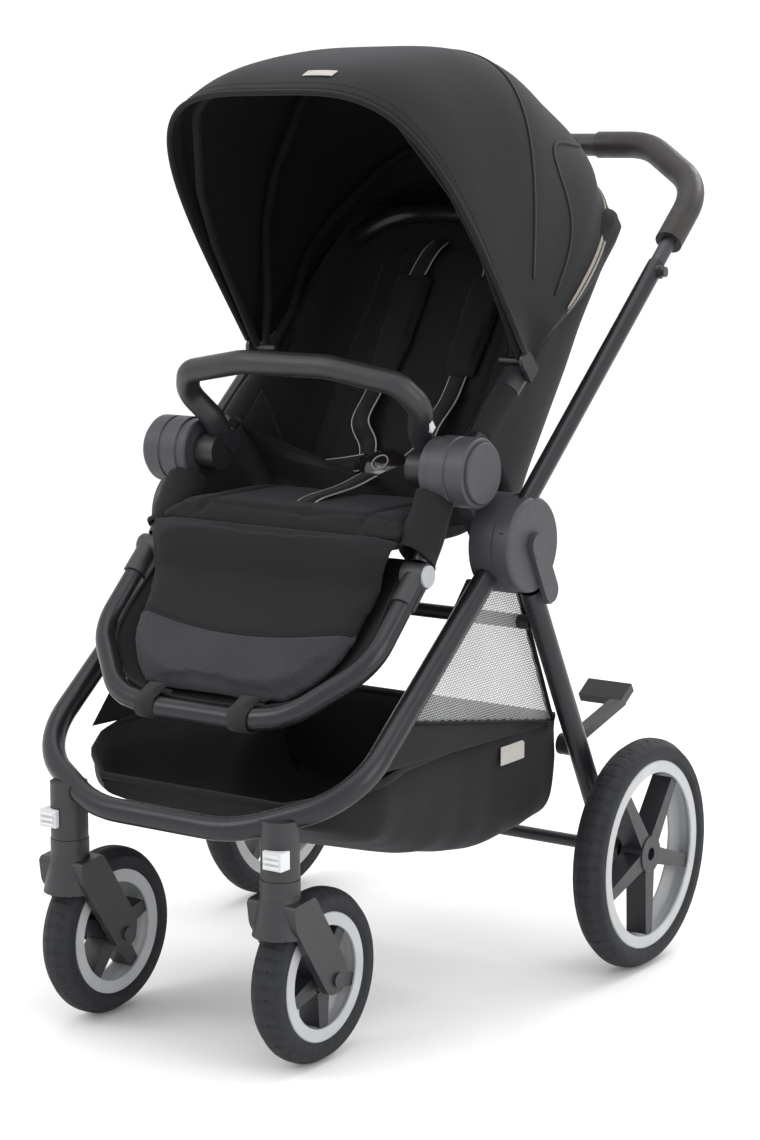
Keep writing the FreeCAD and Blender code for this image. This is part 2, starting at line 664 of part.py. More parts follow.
def seat_adapters():
    """Arms that drop from the drums and plug into the inner side of the hub housings."""
    arms = []
    inner = s.housing_inner_x - s.fit_gap
    run = math.hypot(s.drum_lead, s.drum_rise)
    down = (s.drum_lead / run, -s.drum_rise / run)
    angle = math.degrees(math.atan2(down[1], down[0]))
    for label, side in SIDES:
        web = block(f"adapter_web_{label}", (18, run, 34), at(side * (inner - 9), step(DRUM, down, run / 2)),
                    Rotation(Vector(1, 0, 0), angle))
        plug = across(f"adapter_plug_{label}", "17", HUB, side * (inner - 18), side * inner)
        drum = across(f"adapter_drum_{label}", "dims.drum / 2 + dims.fit_gap", DRUM,
                      side * (s.drum_inner_x - 5), side * (s.drum_outer_x + 5))
        arms.append(cut(f"adapter_{label}", fuse(f"adapter_whole_{label}", web, plug), drum))
    keep(group("seat_adapters", *arms))


KNUCKLE_R = 14.5
KNUCKLE_X = s.legrest_x + 11.5


def side_tubes():
    """Short tubes from the drums to the leg rest hinges."""
    tubes = []
    run = math.hypot(s.legrest_lead, s.legrest_drop)
    down = (-s.legrest_lead / run, -s.legrest_drop / run)
    start = step(DRUM, down, DRUM_R + s.fit_gap)
    end = step(DRUM, down, run - KNUCKLE_R - s.fit_gap)
    for label, side in SIDES:
        x = side * s.seat_tube_x
        tubes.append(tube(f"side_tube_{label}", "dims.seat_tube / 2", "dims.tube_wall",
                          at(x, start), at(x, end)))
    keep(group("seat_side_tubes", *tubes))


SEAT_TOP = DRUM[1] - 58
SEAT_FRONT = DRUM[0] - 90
SEAT_REAR = DRUM[0] + 117


def seat_base():
    length = SEAT_REAR - SEAT_FRONT
    outline = [(0, 0), (length, 0), (length, -s.pad_thickness), (0, -s.pad_thickness)]
    place = Placement(at(0, (SEAT_FRONT, SEAT_TOP)), Rotation())
    keep(pad("seat_base_pad", place, "YZ_Plane", outline, [12, 3, 3, 10], 2 * SEAT_HALF))
    buckle = block("buckle_body", (46, 62, 16), at(0, (SEAT_REAR - 34, SEAT_TOP + 8.6)))
    strap = block("buckle_strap", (26, 60, 4), at(0, (SEAT_REAR - 92, SEAT_TOP + 4.6)))
    keep(fuse("crotch_buckle", buckle, strap))


# ---------------------------------------------------------------- backrest
BACK_START = math.sqrt(DRUM_R ** 2 - (s.back_tube_offset - s.back_tube / 2) ** 2) + s.fit_gap
PAD_DIR = unit(s.back_pad_angle)
PAD_BACK = unit(s.back_pad_angle - 90)
PAD_FOOT = (DRUM[0] + 152, DRUM[1] - 59)


def backrest():
    place = slope(step(BACK_FOOT, BACK_DIR, BACK_START), BACK_DIR)
    run = s.back_tube_reach - BACK_START
    path = mirrored([(s.back_tube_x, 0), (s.back_tube_x, run)])
    keep(bent_tube("backrest_frame", place, path, [90, 90],
                   ["dims.back_tube / 2", "dims.back_tube / 2 - dims.tube_wall"]))
    outline = [(0, 0), (s.back_pad_length, 0), (s.back_pad_length, -s.pad_thickness), (0, -s.pad_thickness)]
    length = Vector(0, PAD_DIR[0], PAD_DIR[1])
    front = Vector(0, -PAD_BACK[0], -PAD_BACK[1])
    turn = Rotation(length, front, length.cross(front), "XYZ")
    keep(pad("backrest_pad", Placement(at(0, PAD_FOOT), turn), "XY_Plane", outline, [8, 10, 10, 8],
             2 * BACK_HALF))


def on_pad(x, run, lift):
    """Point above the front face of the back pad."""
    return at(x, step(step(PAD_FOOT, PAD_DIR, run), PAD_BACK, -lift))


def harness():
    """Shoulder straps with their pads, lying on the back pad."""
    turn = Rotation(Vector(1, 0, 0), s.back_pad_angle)
    pieces = []
    for label, side in SIDES:
        strap = block(f"strap_{label}", (26, 250, 2), on_pad(side * 55, 225, s.fit_gap + 1), turn)
        cushion = block(f"shoulder_{label}", (60, 150, 12), on_pad(side * 55, 220, s.fit_gap + 2 + 6), turn)
        pieces.append(fuse(f"harness_{label}", strap, cushion))
    keep(group("harness", *pieces))


# ---------------------------------------------------------------- leg rest
def legrest_loop(name, sections, start):
    place = slope(step(LEGREST_HINGE, LEGREST_DIR, start), LEGREST_DIR)
    reach = s.legrest_reach - start
    half = [(s.legrest_x, 0), (s.legrest_x, reach - 92), (120, reach - 12), (60, reach)]
    return bent_tube(name, place, mirrored(half), [85, 75, 60, 60, 75, 85], sections)


def legrest():
    walls = ["dims.legrest_tube / 2", "dims.legrest_tube / 2 - dims.tube_wall"]
    keep(legrest_loop("legrest_loop", walls, 16))
    collars = []
    for label, side in SIDES:
        knuckle = across(f"knuckle_{label}", str(KNUCKLE_R), LEGREST_HINGE, side * 174, side * KNUCKLE_X)
        sleeve = cylinder(f"sleeve_{label}", "dims.legrest_tube / 2 + 2.5",
                          at(side * s.legrest_x, step(LEGREST_HINGE, LEGREST_DIR, 6)),
                          at(side * s.legrest_x, step(LEGREST_HINGE, LEGREST_DIR, 44)))
        trim = across(f"sleeve_trim_{label}", "60", LEGREST_HINGE, side * 201.5, side * 215)
        room = legrest_loop(f"collar_room_{label}", ["dims.legrest_tube / 2 + dims.seat_gap"], 16)
        recess = across(f"collar_recess_{label}", "12.5 + dims.fit_gap", LEGREST_HINGE,
                        side * (KNUCKLE_X - 7), side * (KNUCKLE_X + 2))
        whole = fuse(f"collar_whole_{label}", knuckle, sleeve)
        tools = fuse(f"collar_tools_{label}", room, trim, recess)
        collars.append(cut(f"collar_{label}", whole, tools))
        keep(across(f"legrest_button_{label}", "12.5", LEGREST_HINGE, side * (KNUCKLE_X - 3.5),
                    side * (KNUCKLE_X + 3)))
    keep(group("legrest_collars", *collars))
    legrest_pad()


def legrest_pad():
    half = s.legrest_pad_half
    outline = [(-half + 6, 18), (half - 6, 18), (half, 100),
               (half - 48, 178), (-half + 48, 178), (-half, 100)]
    place = slope(LEGREST_HINGE, LEGREST_DIR)
    sheet_pad = pad("legrest_cushion", place, "XY_Plane", outline, [10, 10, 60, 60, 60, 60],
                    "dims.legrest_pad_thickness")
    tabs = []
    reach = s.legrest_reach - s.legrest_tube / 2 - s.fit_gap
    turn = place.Rotation
    for side in (-1, 1):
        centre = place.multVec(Vector(side * 42, (165 + reach) / 2, 0))
        tabs.append(block(f"strap_tab_front_{side + 1}", (24, reach - 165, 3), centre, turn))
        inner = s.legrest_x - s.legrest_tube / 2 - s.fit_gap
        edge = half - 14
        centre = place.multVec(Vector(side * (edge + inner) / 2, 70, 0))
        tabs.append(block(f"strap_tab_side_{side + 1}", (inner - edge, 24, 3), centre, turn))
    keep(fuse("legrest_pad", sheet_pad, *tabs))


# ---------------------------------------------------------------- bumper bar
def bumper_bar():
    place = slope(BUMPER_FOOT, BUMPER_DIR)
    reach = s.bumper_reach
    wide = s.bumper_x + 18
    half = [(s.bumper_x, 0), (s.bumper_x, 36), (wide, reach - 53), (wide - 18, reach - 20), (60, reach)]
    path = mirrored(half)
    bar = bent_tube("bumper_tube", place, path, [24, 30, 26, 90, 90, 26, 30, 24], ["dims.bumper / 2"])
    bosses = [across(f"bumper_boss_{label}", "21", DRUM, side * (s.drum_inner_x - s.fit_gap - 28),
                     side * (s.drum_inner_x - s.fit_gap)) for label, side in SIDES]
    webs = [across(f"bumper_web_{label}", "dims.bumper / 2", BUMPER_FOOT,
                   side * (s.bumper_x - s.bumper / 2), side * (s.bumper_x + s.bumper / 2))
            for label, side in SIDES]
    whole = fuse("bumper_whole", bar, *bosses, *webs)
    surface = s.bumper_x + 5 + s.bumper / 2
    run = DRUM_R + 8
    pocket = block("bumper_pocket", (19, 14.6, 9.6), place.multVec(Vector(surface, run, 0)), place.Rotation)
    keep(cut("bumper_bar", whole, pocket))
    keep(block("bumper_button", (9, 14, 9), place.multVec(Vector(surface - 2.5, run, 0)), place.Rotation))


# ---------------------------------------------------------------- canopy
RIM_ANGLE = 127
REAR_ANGLE = 33
# angle about the canopy pivot and height of the cloth above it
CANOPY_RIBS = [(RIM_ANGLE, 384), (105, 372), (84, 359), (68, 352), (52, 350), (40, 350), (REAR_ANGLE, 350)]
CANOPY_POWER = 3.9
FAN_GAP = 11
BOW_INSET = 3.8


def arch(half_width, height, inset, samples=24):
    """Rounded-square arch from one foot over the top to the other."""
    points = []
    for index in range(samples + 1):
        turn = math.pi * index / samples
        x = math.copysign(abs(math.cos(turn)) ** (2 / CANOPY_POWER), math.cos(turn))
        rise = abs(math.sin(turn)) ** (2 / CANOPY_POWER)
        points.append(Vector((half_width - inset) * x, 14 + (height - 14 - inset) * rise, 0))
    return points


def rib_wire(angle, height):
    """Closed outline of the cloth where it crosses the plane of one rib."""
    outer = Part.BSplineCurve()
    outer.interpolate(arch(s.canopy_half, height, 0))
    inner = Part.BSplineCurve()
    inner.interpolate(arch(s.canopy_half, height, s.canopy_cloth))
    feet = [Part.LineSegment(outer.EndPoint, inner.EndPoint),
            Part.LineSegment(inner.StartPoint, outer.StartPoint)]
    wire = Part.Wire([outer.toShape(), feet[0].toShape(), inner.toShape(), feet[1].toShape()])
    wire.Placement = slope(CANOPY_PIVOT, unit(angle))
    return wire


def canopy_cloth():
    ribs = []
    for angle, height in CANOPY_RIBS:
        rib = doc.addObject("Part::Feature", f"canopy_rib_{angle}")
        rib.Shape = rib_wire(angle, height)
        ribs.append(rib)
    cloth = doc.addObject("Part::Loft", "canopy_fabric")
    cloth.Sections = ribs
    cloth.Solid = True
    cloth.Ruled = False
    keep(cloth)


def canopy_bow(name, angle, height, foot_x):
    """Flat spring bow that fans out from the hinge under the cloth."""
    place = slope(step(CANOPY_PIVOT, unit(angle), s.bow_start), unit(angle))
    wide = s.canopy_half - s.canopy_cloth - s.bow / 2 - BOW_INSET
    top = height - s.canopy_cloth - s.bow / 2 - 8
    path = mirrored([(foot_x, 0), (foot_x, 60), (wide, 150), (wide - 12, top * 0.62), (wide - 66, top)])
    keep(bent_tube(name, place, path, [60, 120, 60, 70, 70, 60, 120, 60], ["dims.bow / 2"]))


def canopy():
    canopy_cloth()
    first = s.hinge_plate_x - s.fit_gap - s.bow / 2
    canopy_bow("canopy_rim_bow", RIM_ANGLE - 3.5, 382, first)
    canopy_bow("canopy_mid_bow", 84, 359, first - FAN_GAP)
    canopy_bow("canopy_rear_bow", 47, 350, first - 2 * FAN_GAP)
    hinges = []
    for label, side in SIDES:
        plate = across(f"hinge_plate_{label}", "12", CANOPY_PIVOT, side * s.hinge_plate_x,
                       side * (s.hinge_plate_x + 5))
        near = step(BACK_FOOT, BACK_DIR, 168)
        clamp = cylinder(f"hinge_clamp_{label}", "dims.back_tube / 2 + 3",
                         at(side * s.back_tube_x, step(near, BACK_DIR, -18)),
                         at(side * s.back_tube_x, step(near, BACK_DIR, 18)))
        pin = across(f"hinge_pin_{label}", "dims.bow_start - dims.fit_gap", CANOPY_PIVOT,
                     side * (s.hinge_plate_x + 1), side * (s.hinge_plate_x - 3 * FAN_GAP))
        riser = block(f"hinge_riser_{label}", (5, 22, 24),
                      at(side * (s.hinge_plate_x + 2.5), step(CANOPY_PIVOT, unit(s.handle_angle - 90), 12)),
                      Rotation(Vector(1, 0, 0), s.handle_angle))
        shelf = block(f"hinge_shelf_{label}", (20, 22, 6),
                      at(side * (s.hinge_plate_x - 7), step(CANOPY_PIVOT, unit(s.handle_angle - 90), 19)),
                      Rotation(Vector(1, 0, 0), s.handle_angle))
        room = cylinder(f"hinge_room_{label}", "dims.back_tube / 2 + dims.seat_gap",
                        at(side * s.back_tube_x, step(near, BACK_DIR, -40)),
                        at(side * s.back_tube_x, step(near, BACK_DIR, 40)))
        whole = fuse(f"hinge_whole_{label}", plate, pin, clamp, riser, shelf)
        hinges.append(cut(f"canopy_hinge_{label}", whole, room))
    keep(group("canopy_hinges", *hinges))


# ---------------------------------------------------------------- basket
def basket():
    """Cloth tub below the seat and the mesh side panels that hang it from the frame."""
    rear = -s.basket_rear
    front = SWIVEL_Y + 33
    low = s.basket_bottom
    rim_rear = low + 150
    rim_front = low + 112
    outer = [(rear, rim_rear), (rear, low + 8), (rear - 40, low), (rear - 130, low + 2),
             (rear - 250, low + 26),
             (rear - 370, low + 66), (front, low + 100), (front, rim_front), (rear - 320, rim_rear - 6)]
    turns = [0, 12, 30, 60, 90, 90, 6, 0, 0]
    place = Placement(at(0, (0, 0)), Rotation())
    shell = pad("tub_shell", place, "YZ_Plane", outer, turns, "2 * dims.basket_half")
    wall = s.basket_wall
    inner = [(rear - wall, rim_rear + 30), (rear - wall, low + 8 + wall), (rear - 40 - wall, low + wall),
             (rear - 130, low + 2 + wall), (rear - 250, low + 26 + wall), (rear - 370, low + 66 + wall),
             (front + wall, low + 100 + wall), (front + wall, rim_rear + 30)]
    room = pad("tub_room", place, "YZ_Plane", inner, [0, 10, 28, 60, 90, 90, 4, 0],
               "2 * dims.basket_half - 2 * dims.basket_wall")
    tub = cut("tub_open", shell, room)
    corners = [(-s.basket_half - 10, rear + 10), (s.basket_half + 10, rear + 10),
               (s.basket_half + 10, front + 60), (s.front_bow + 10, front), (-s.front_bow - 10, front),
               (-s.basket_half - 10, front + 60)]
    plan = pad("tub_plan", Placement(at(0, (0, 100)), Rotation()), "XY_Plane", corners,
               [0, 0, 40, 40, 40, 40], 400, middle=False)
    tub_node = doc.addObject("Part::Common", "basket_tub")
    tub_node.Base = tub
    tub_node.Tool = plan
    keep(tub_node)
    basket_sides(rim_rear, rear)


def basket_sides(rim_rear, rear):
    top = step(HUB, LEG_DIR, 66)
    low_front = step(HUB, LEG_DIR, LEG_RUN - 112)
    ahead = (REAR_LEG_DIR[1], -REAR_LEG_DIR[0])
    rear_top = step(step(HUB, REAR_LEG_DIR, 66), ahead, 14)
    rear_low = (rear - 16, rim_rear - 8)
    outline = [top, low_front, (rear - 320, rim_rear - 14), rear_low, rear_top]
    panels = []
    for label, side in SIDES:
        x = side * (s.basket_half + s.fit_gap + 0.8)
        place = Placement(at(x, (0, 0)), Rotation())
        sheet_panel = pad(f"mesh_sheet_{label}", place, "YZ_Plane", outline, [0, 0, 0, 0, 0], 1.6)
        bead_x = side * (s.front_leg_x - TUBE_R - s.fit_gap - 1.5)
        bead = cylinder(f"mesh_bead_{label}", "1.5", at(bead_x, step(HUB, LEG_DIR, 66)),
                        at(bead_x, step(HUB, LEG_DIR, LEG_RUN - 112)))
        panels.append(fuse(f"mesh_{label}", sheet_panel, bead))
    keep(group("basket_sides", *panels))


def build():
    front_frame()
    caster_sockets()
    swivel_locks()
    caster_forks()
    wheels()
    hub_housings()
    fold_discs()
    leg_arms()
    rear_legs()
    rear_axle()
    brake_pedal()
    handle_tubes()
    handlebar()
    seat_drums()
    seat_adapters()
    side_tubes()
    seat_base()
    backrest()
    harness()
    legrest()
    bumper_bar()
    canopy()
    basket()


def write():
    doc.recompute()
    for obj in doc.Objects:
        if "Invalid" in obj.State or "Error" in obj.State:
            raise RuntimeError(f"{obj.Name} did not compute: {obj.State}")
    os.makedirs("parts", exist_ok=True)
    for name, obj in parts.items():
        if obj.Shape.isNull() or not obj.Shape.isValid():
            raise RuntimeError(f"{name} has no valid shape")
        if any(solid.Volume <= 0 for solid in obj.Shape.Solids) or not obj.Shape.Solids:
            raise RuntimeError(f"{name} is not a solid")
    for name, obj in parts.items():
        obj.Shape.exportStep(f"parts/{name}.step")
    print(len(parts), "nodes written")


build()
write()
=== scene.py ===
import math

import bmesh
import bpy
import numpy as np
from mathutils import Matrix, Vector
from mathutils.bvhtree import BVHTree


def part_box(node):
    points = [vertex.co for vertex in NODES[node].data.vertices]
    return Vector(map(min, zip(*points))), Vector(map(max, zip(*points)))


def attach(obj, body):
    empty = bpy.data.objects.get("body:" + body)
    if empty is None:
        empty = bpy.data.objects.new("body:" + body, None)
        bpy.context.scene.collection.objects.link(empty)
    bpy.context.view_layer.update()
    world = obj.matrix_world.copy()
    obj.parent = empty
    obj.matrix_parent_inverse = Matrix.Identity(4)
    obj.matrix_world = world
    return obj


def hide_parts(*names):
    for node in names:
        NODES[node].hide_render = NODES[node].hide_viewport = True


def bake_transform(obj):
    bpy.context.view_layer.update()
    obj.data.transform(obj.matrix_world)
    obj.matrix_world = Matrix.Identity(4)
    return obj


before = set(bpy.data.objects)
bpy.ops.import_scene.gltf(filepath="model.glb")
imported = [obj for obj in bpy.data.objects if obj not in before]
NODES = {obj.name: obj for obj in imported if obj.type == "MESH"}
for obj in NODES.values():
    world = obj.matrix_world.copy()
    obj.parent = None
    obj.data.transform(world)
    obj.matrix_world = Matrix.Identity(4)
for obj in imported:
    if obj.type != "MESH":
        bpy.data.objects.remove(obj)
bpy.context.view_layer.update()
SIDES = (("left", 1), ("right", -1))


# ---------------------------------------------------------------- finishes
class Finish:
    """A node material: one Principled shader with textures in object space."""

    def __init__(self, name, color, rough, metallic=0.0, **uniform):
        self.mat = bpy.data.materials.new(name)
        self.mat.use_nodes = True
        self.mat.diffuse_color = (*color, 1)
        tree = self.mat.node_tree
        self.nodes, self.links = tree.nodes, tree.links
        self.shader = tree.nodes["Principled BSDF"]
        self.shader.inputs["Base Color"].default_value = (*color, 1)
        self.shader.inputs["Roughness"].default_value = rough
        self.shader.inputs["Metallic"].default_value = metallic
        for key, value in uniform.items():
            self.shader.inputs[key.replace("_", " ")].default_value = value
        self.color = color
        self.place = self.nodes.new("ShaderNodeTexCoord").outputs["Object"]
        self.normal = None

    def add(self, kind, links, values=(), **settings):
        """New shader node with its linked inputs, fixed inputs and settings."""
        node = self.nodes.new("ShaderNode" + kind)
        for key, value in settings.items():
            setattr(node, key, value)
        for key, value in dict(values).items():
            node.inputs[key].default_value = value
        for key, value in links.items():
            self.links.new(value, node.inputs[key])
        return node

    def turned(self, x=0.0, y=0.0, z=0.0, shift=(0, 0, 0)):
        turn = [math.radians(v) for v in (x, y, z)]
        return self.add("Mapping", {"Vector": self.place}, {"Rotation": turn, "Location": shift}).outputs["Vector"]

    def noise(self, scale, detail=3.0):
        return self.add("TexNoise", {"Vector": self.place}, {"Scale": scale, "Detail": detail}).outputs[0]

    def cells(self, scale):
        return self.add("TexVoronoi", {"Vector": self.place}, {"Scale": scale}).outputs["Distance"]

    def wave(self, period, vector, direction="X"):
        return self.add("TexWave", {"Vector": vector}, {"Scale": math.pi / (10 * period)},
                        bands_direction=direction).outputs["Fac"]

    def math(self, operation, first, second=0.0):
        pair = {0: first, 1: second}
        fixed = {key: value for key, value in pair.items() if isinstance(value, (int, float))}
        links = {key: value for key, value in pair.items() if key not in fixed}
        return self.add("Math", links, fixed, operation=operation).outputs[0]

    def ranged(self, value, low, high, start=0.3, end=0.7):
        ends = {"From Min": start, "From Max": end, "To Min": low, "To Max": high}
        return self.add("MapRange", {"Value": value}, ends).outputs["Result"]

    def tint(self, value, low, high, start=0.3, end=0.7):
        """Colour goes from low to high times the base colour as value rises; calls multiply."""
        old = self.shader.inputs["Base Color"]
        links = {"B": self.ranged(value, low, high, start, end)}
        values = {"Factor": 1.0}
        if old.is_linked:
            links["A"] = old.links[0].from_socket
        else:
            values["A"] = (*self.color, 1)
        node = self.add("Mix", links, values, data_type="RGBA", blend_type="MULTIPLY")
        self.links.new(node.outputs["Result"], old)
        return self

    def gloss(self, value, low, high):
        self.links.new(self.ranged(value, low, high), self.shader.inputs["Roughness"])
        return self

    def bump(self, value, depth, strength=1.0):
        links = {"Height": value, "Normal": self.normal} if self.normal else {"Height": value}
        node = self.add("Bump", links, {"Strength": strength, "Distance": depth})
        self.normal = node.outputs["Normal"]
        self.links.new(self.normal, self.shader.inputs["Normal"])
        return self

    def weave(self, pitch, depth):
        """Two sets of threads that cross on any face."""
        first = self.wave(pitch, self.turned(0, 0, 45))
        second = self.wave(pitch, self.turned(0, 45, -45), "Z")
        threads = self.math("MULTIPLY", first, second)
        self.bump(threads, depth, 0.6)
        self.tint(threads, 0.82, 1.15, 0.0, 1.0)
        return self


def metal_paint(name, color, rough, metallic):
    finish = Finish(name, color, rough, metallic)
    finish.tint(finish.noise(18, 4), 0.93, 1.07)
    finish.gloss(finish.noise(60, 5), rough - 0.04, rough + 0.05)
    return finish.bump(finish.noise(1400, 2), 0.00004, 0.5)


def plastic(name, color, rough, grain=1800, depth=0.00005):
    finish = Finish(name, color, rough)
    finish.tint(finish.noise(25, 4), 0.93, 1.07)
    finish.gloss(finish.noise(90, 4), rough - 0.04, rough + 0.05)
    return finish.bump(finish.noise(grain, 2), depth, 0.6)


def cloth(name, color, rough=0.85, pitch=0.0011, depth=0.0001, sheen=0.06, creases=0.0012):
    finish = Finish(name, color, rough, Sheen_Weight=sheen, Sheen_Roughness=0.45, Sheen_Tint=(0.75, 0.78, 0.85, 1),
                    Specular_IOR_Level=0.3)
    finish.tint(finish.noise(9, 5), 0.88, 1.12)
    finish.tint(finish.noise(700, 3), 0.9, 1.1)
    finish.bump(finish.noise(22, 4), creases, 0.5)
    return finish.weave(pitch, depth)


def rubber(name, color, hub_node, lugs, band):
    """Tyre rubber with fine cross grooves on its running face, counted round the wheel's axis; the grooves are also
    darkened in colour as painted shade.
    """
    finish = Finish(name, color, 0.72, Specular_IOR_Level=0.35)
    finish.tint(finish.noise(30, 4), 0.88, 1.12)
    finish.gloss(finish.noise(120, 4), 0.64, 0.8)
    lo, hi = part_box(hub_node)
    centre = (lo + hi) / 2
    split = finish.nodes.new("ShaderNodeSeparateXYZ")
    finish.links.new(finish.turned(shift=(0, -centre.y, -centre.z)), split.inputs[0])
    angle = finish.math("ARCTAN2", split.outputs["Z"], split.outputs["Y"])
    teeth = finish.math("SINE", finish.math("MULTIPLY", angle, lugs))
    square = finish.math("MULTIPLY", split.outputs["Y"], split.outputs["Y"])
    rise = finish.math("MULTIPLY", split.outputs["Z"], split.outputs["Z"])
    radius = finish.math("SQRT", finish.math("ADD", square, rise))
    outer = (hi.z - lo.z) / 2
    running = finish.ranged(radius, 0.0, 1.0, outer - band, outer - band * 0.6)
    grooves = finish.math("MULTIPLY", finish.ranged(teeth, 0.0, 1.0, 0.55, 0.8), running)
    finish.bump(grooves, -0.0008, 0.8)
    # Painted shade: the groove colour is darkened, as if shade lay in the recesses.
    finish.tint(grooves, 1.0, 0.72, 0.0, 1.0)
    return finish.bump(finish.noise(900, 2), 0.00008, 0.6)


TUBE = metal_paint("tube_paint", (0.021, 0.022, 0.025), 0.29, 0.5)
STEEL = metal_paint("dark_steel", (0.055, 0.057, 0.062), 0.38, 0.7)
HUB_GREY = plastic("hub_grey", (0.036, 0.037, 0.043), 0.5)
BLACK = plastic("black_plastic", (0.017, 0.0175, 0.020), 0.44)
SPOKE = plastic("spoke_black", (0.014, 0.015, 0.018), 0.42)
RIM = plastic("rim_silver", (0.40, 0.41, 0.42), 0.36, 900, 0.00003)
WHITE = plastic("lock_white", (0.60, 0.61, 0.62), 0.4)
BUTTON_GREY = plastic("button_grey", (0.36, 0.37, 0.385), 0.45)
FABRIC = cloth("seat_cloth", (0.0078, 0.0079, 0.0092), 0.88)
CANOPY_CLOTH = cloth("canopy_cloth", (0.0060, 0.0061, 0.0070), 0.84, creases=0.0016)
# Lining cloth: a darker copy of the cloth whose extra darkness is painted shade, used on the hood's inside, the leg
# panel and the bows.
SHADED_LINING = cloth("canopy_lining_shaded", (0.0040, 0.0041, 0.0047), 0.9, sheen=0.03)
BASKET_CLOTH = cloth("basket_cloth", (0.0085, 0.0085, 0.0096), 0.84, creases=0.0022)
WEBBING = cloth("black_webbing", (0.012, 0.012, 0.013), 0.75, 0.0016, 0.0002, 0.05, 0.0004)
EDGE = cloth("strap_edge", (0.40, 0.375, 0.335), 0.8, 0.0009, 0.0001, 0.1, 0.0002)
THREAD = cloth("seam_thread", (0.020, 0.020, 0.023), 0.7, 0.0008, 0.0001, 0.1, 0.0001)
TAG = cloth("blank_tag", (0.42, 0.40, 0.37), 0.8, 0.0008, 0.00006, 0.1, 0.0002)
ZIP_TAPE = cloth("zip_tape", (0.30, 0.275, 0.235), 0.8, 0.0009, 0.0001, 0.1, 0.0002)
MESH_CLOTH = cloth("mesh_net", (0.36, 0.365, 0.37), 0.75, 0.0006, 0.00004, 0.1, 0.0002)

HEATHER = cloth("heather_cloth", (0.027, 0.0275, 0.032), 0.9, 0.0013, 0.00015, 0.12)
HEATHER.tint(HEATHER.noise(1100, 4), 0.55, 1.5)

LEATHER = Finish("bumper_leather", (0.015, 0.015, 0.0175), 0.42, Specular_IOR_Level=0.45)
LEATHER.tint(LEATHER.noise(35, 4), 0.9, 1.12)
LEATHER.gloss(LEATHER.noise(80, 4), 0.36, 0.5)
LEATHER.bump(LEATHER.cells(650), 0.00012, 0.7).bump(LEATHER.noise(90, 4), 0.0003, 0.3)

GRIP = Finish("grip_leather", (0.017, 0.0135, 0.0125), 0.46, Specular_IOR_Level=0.4)
GRIP.tint(GRIP.noise(40, 4), 0.85, 1.15)
GRIP.gloss(GRIP.noise(70, 4), 0.4, 0.55)
GRIP.bump(GRIP.cells(800), 0.00010, 0.7)

GLOSS = Finish("buckle_gloss", (0.013, 0.010, 0.010), 0.16, Coat_Weight=0.4, Coat_Roughness=0.08)
GLOSS.tint(GLOSS.noise(60, 3), 0.9, 1.1)
GLOSS.bump(GLOSS.noise(500, 2), 0.00002, 0.3)


def dress(finish, *names):
    for name in names:
        for holder in NODES[name].material_slots:
            holder.material = finish.mat


def both(*stems):
    return [f"{stem}_{label}" for stem in stems for label, _ in SIDES]


dress(TUBE, "front_frame", "legrest_loop", "backrest_frame", "seat_side_tubes",
      *both("rear_leg", "handle_tube"))
dress(STEEL, "handlebar_tube", "rear_axle", "cup_holder_studs", *both("caster_axle"))
# The bows take the darker lining cloth, painted shade inside the hood.
dress(SHADED_LINING, "canopy_rim_bow", "canopy_mid_bow", "canopy_rear_bow")
dress(HUB_GREY, "fold_discs", "rear_leg_arms", "seat_adapters", *both("hub_housing", "seat_drum"))
dress(BLACK, "brake_pedal", "rear_crossbar", "canopy_hinges", "handlebar_housing", "height_button", "legrest_collars",
      *both("caster_fork", "caster_socket"))
dress(SPOKE, *both("front_spokes", "rear_spokes"))
dress(RIM, *both("front_rim", "rear_rim"))
dress(WHITE, "bumper_button", *both("swivel_lock"))
dress(BUTTON_GREY, *both("legrest_button"))
dress(LEATHER, "bumper_bar")
dress(GRIP, "handlebar_grip")
for label, _ in SIDES:
    dress(rubber(f"rear_rubber_{label}", (0.0125, 0.0135, 0.0165), f"rear_tyre_{label}", 52, 0.008),
          f"rear_tyre_{label}")
    dress(rubber(f"front_rubber_{label}", (0.0125, 0.0135, 0.0165), f"front_tyre_{label}", 40, 0.007),
          f"front_tyre_{label}")


# ---------------------------------------------------------------- places, all read from the frame
def middle(node):
    lo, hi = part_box(node)
    return (lo + hi) / 2


class Side:
    """Side-view frame: run goes along its angle, lift is square to it, x stays sideways."""

    def __init__(self, y, z, degrees, flip=1):
        self.y, self.z, self.flip = y, z, flip
        self.c, self.s = math.cos(math.radians(degrees)), math.sin(math.radians(degrees))

    def at(self, x, run, lift=0.0):
        lift *= self.flip
        return Vector((x, self.y + run * self.c - lift * self.s, self.z + run * self.s + lift * self.c))

    def yz(self, run, lift=0.0):
        point = self.at(0, run, lift)
        return point.y, point.z


DRUM = middle("seat_drum_left")
HUB = middle("fold_discs")
BACK = Side(DRUM.y + 0.0169, DRUM.z - 0.0198, 40.5)
PAD = Side(DRUM.y + 0.152, DRUM.z - 0.059, 57.3)
SEAT = Side(DRUM.y - 0.090, DRUM.z - 0.058, 0)
LEG = Side(DRUM.y - 0.071, DRUM.z - 0.109, 223.6, -1)
PIVOT = (DRUM.y + 0.142, DRUM.z + 0.114)


# ---------------------------------------------------------------- mesh helpers
def weld(obj, distance=0.0):
    """Joins points that meet, where a distance is given, and turns every face outward."""
    fix = bmesh.new()
    fix.from_mesh(obj.data)
    if distance:
        bmesh.ops.remove_doubles(fix, verts=fix.verts, dist=distance)
    bmesh.ops.recalc_face_normals(fix, faces=fix.faces)
    fix.to_mesh(obj.data)
    fix.free()
    return obj


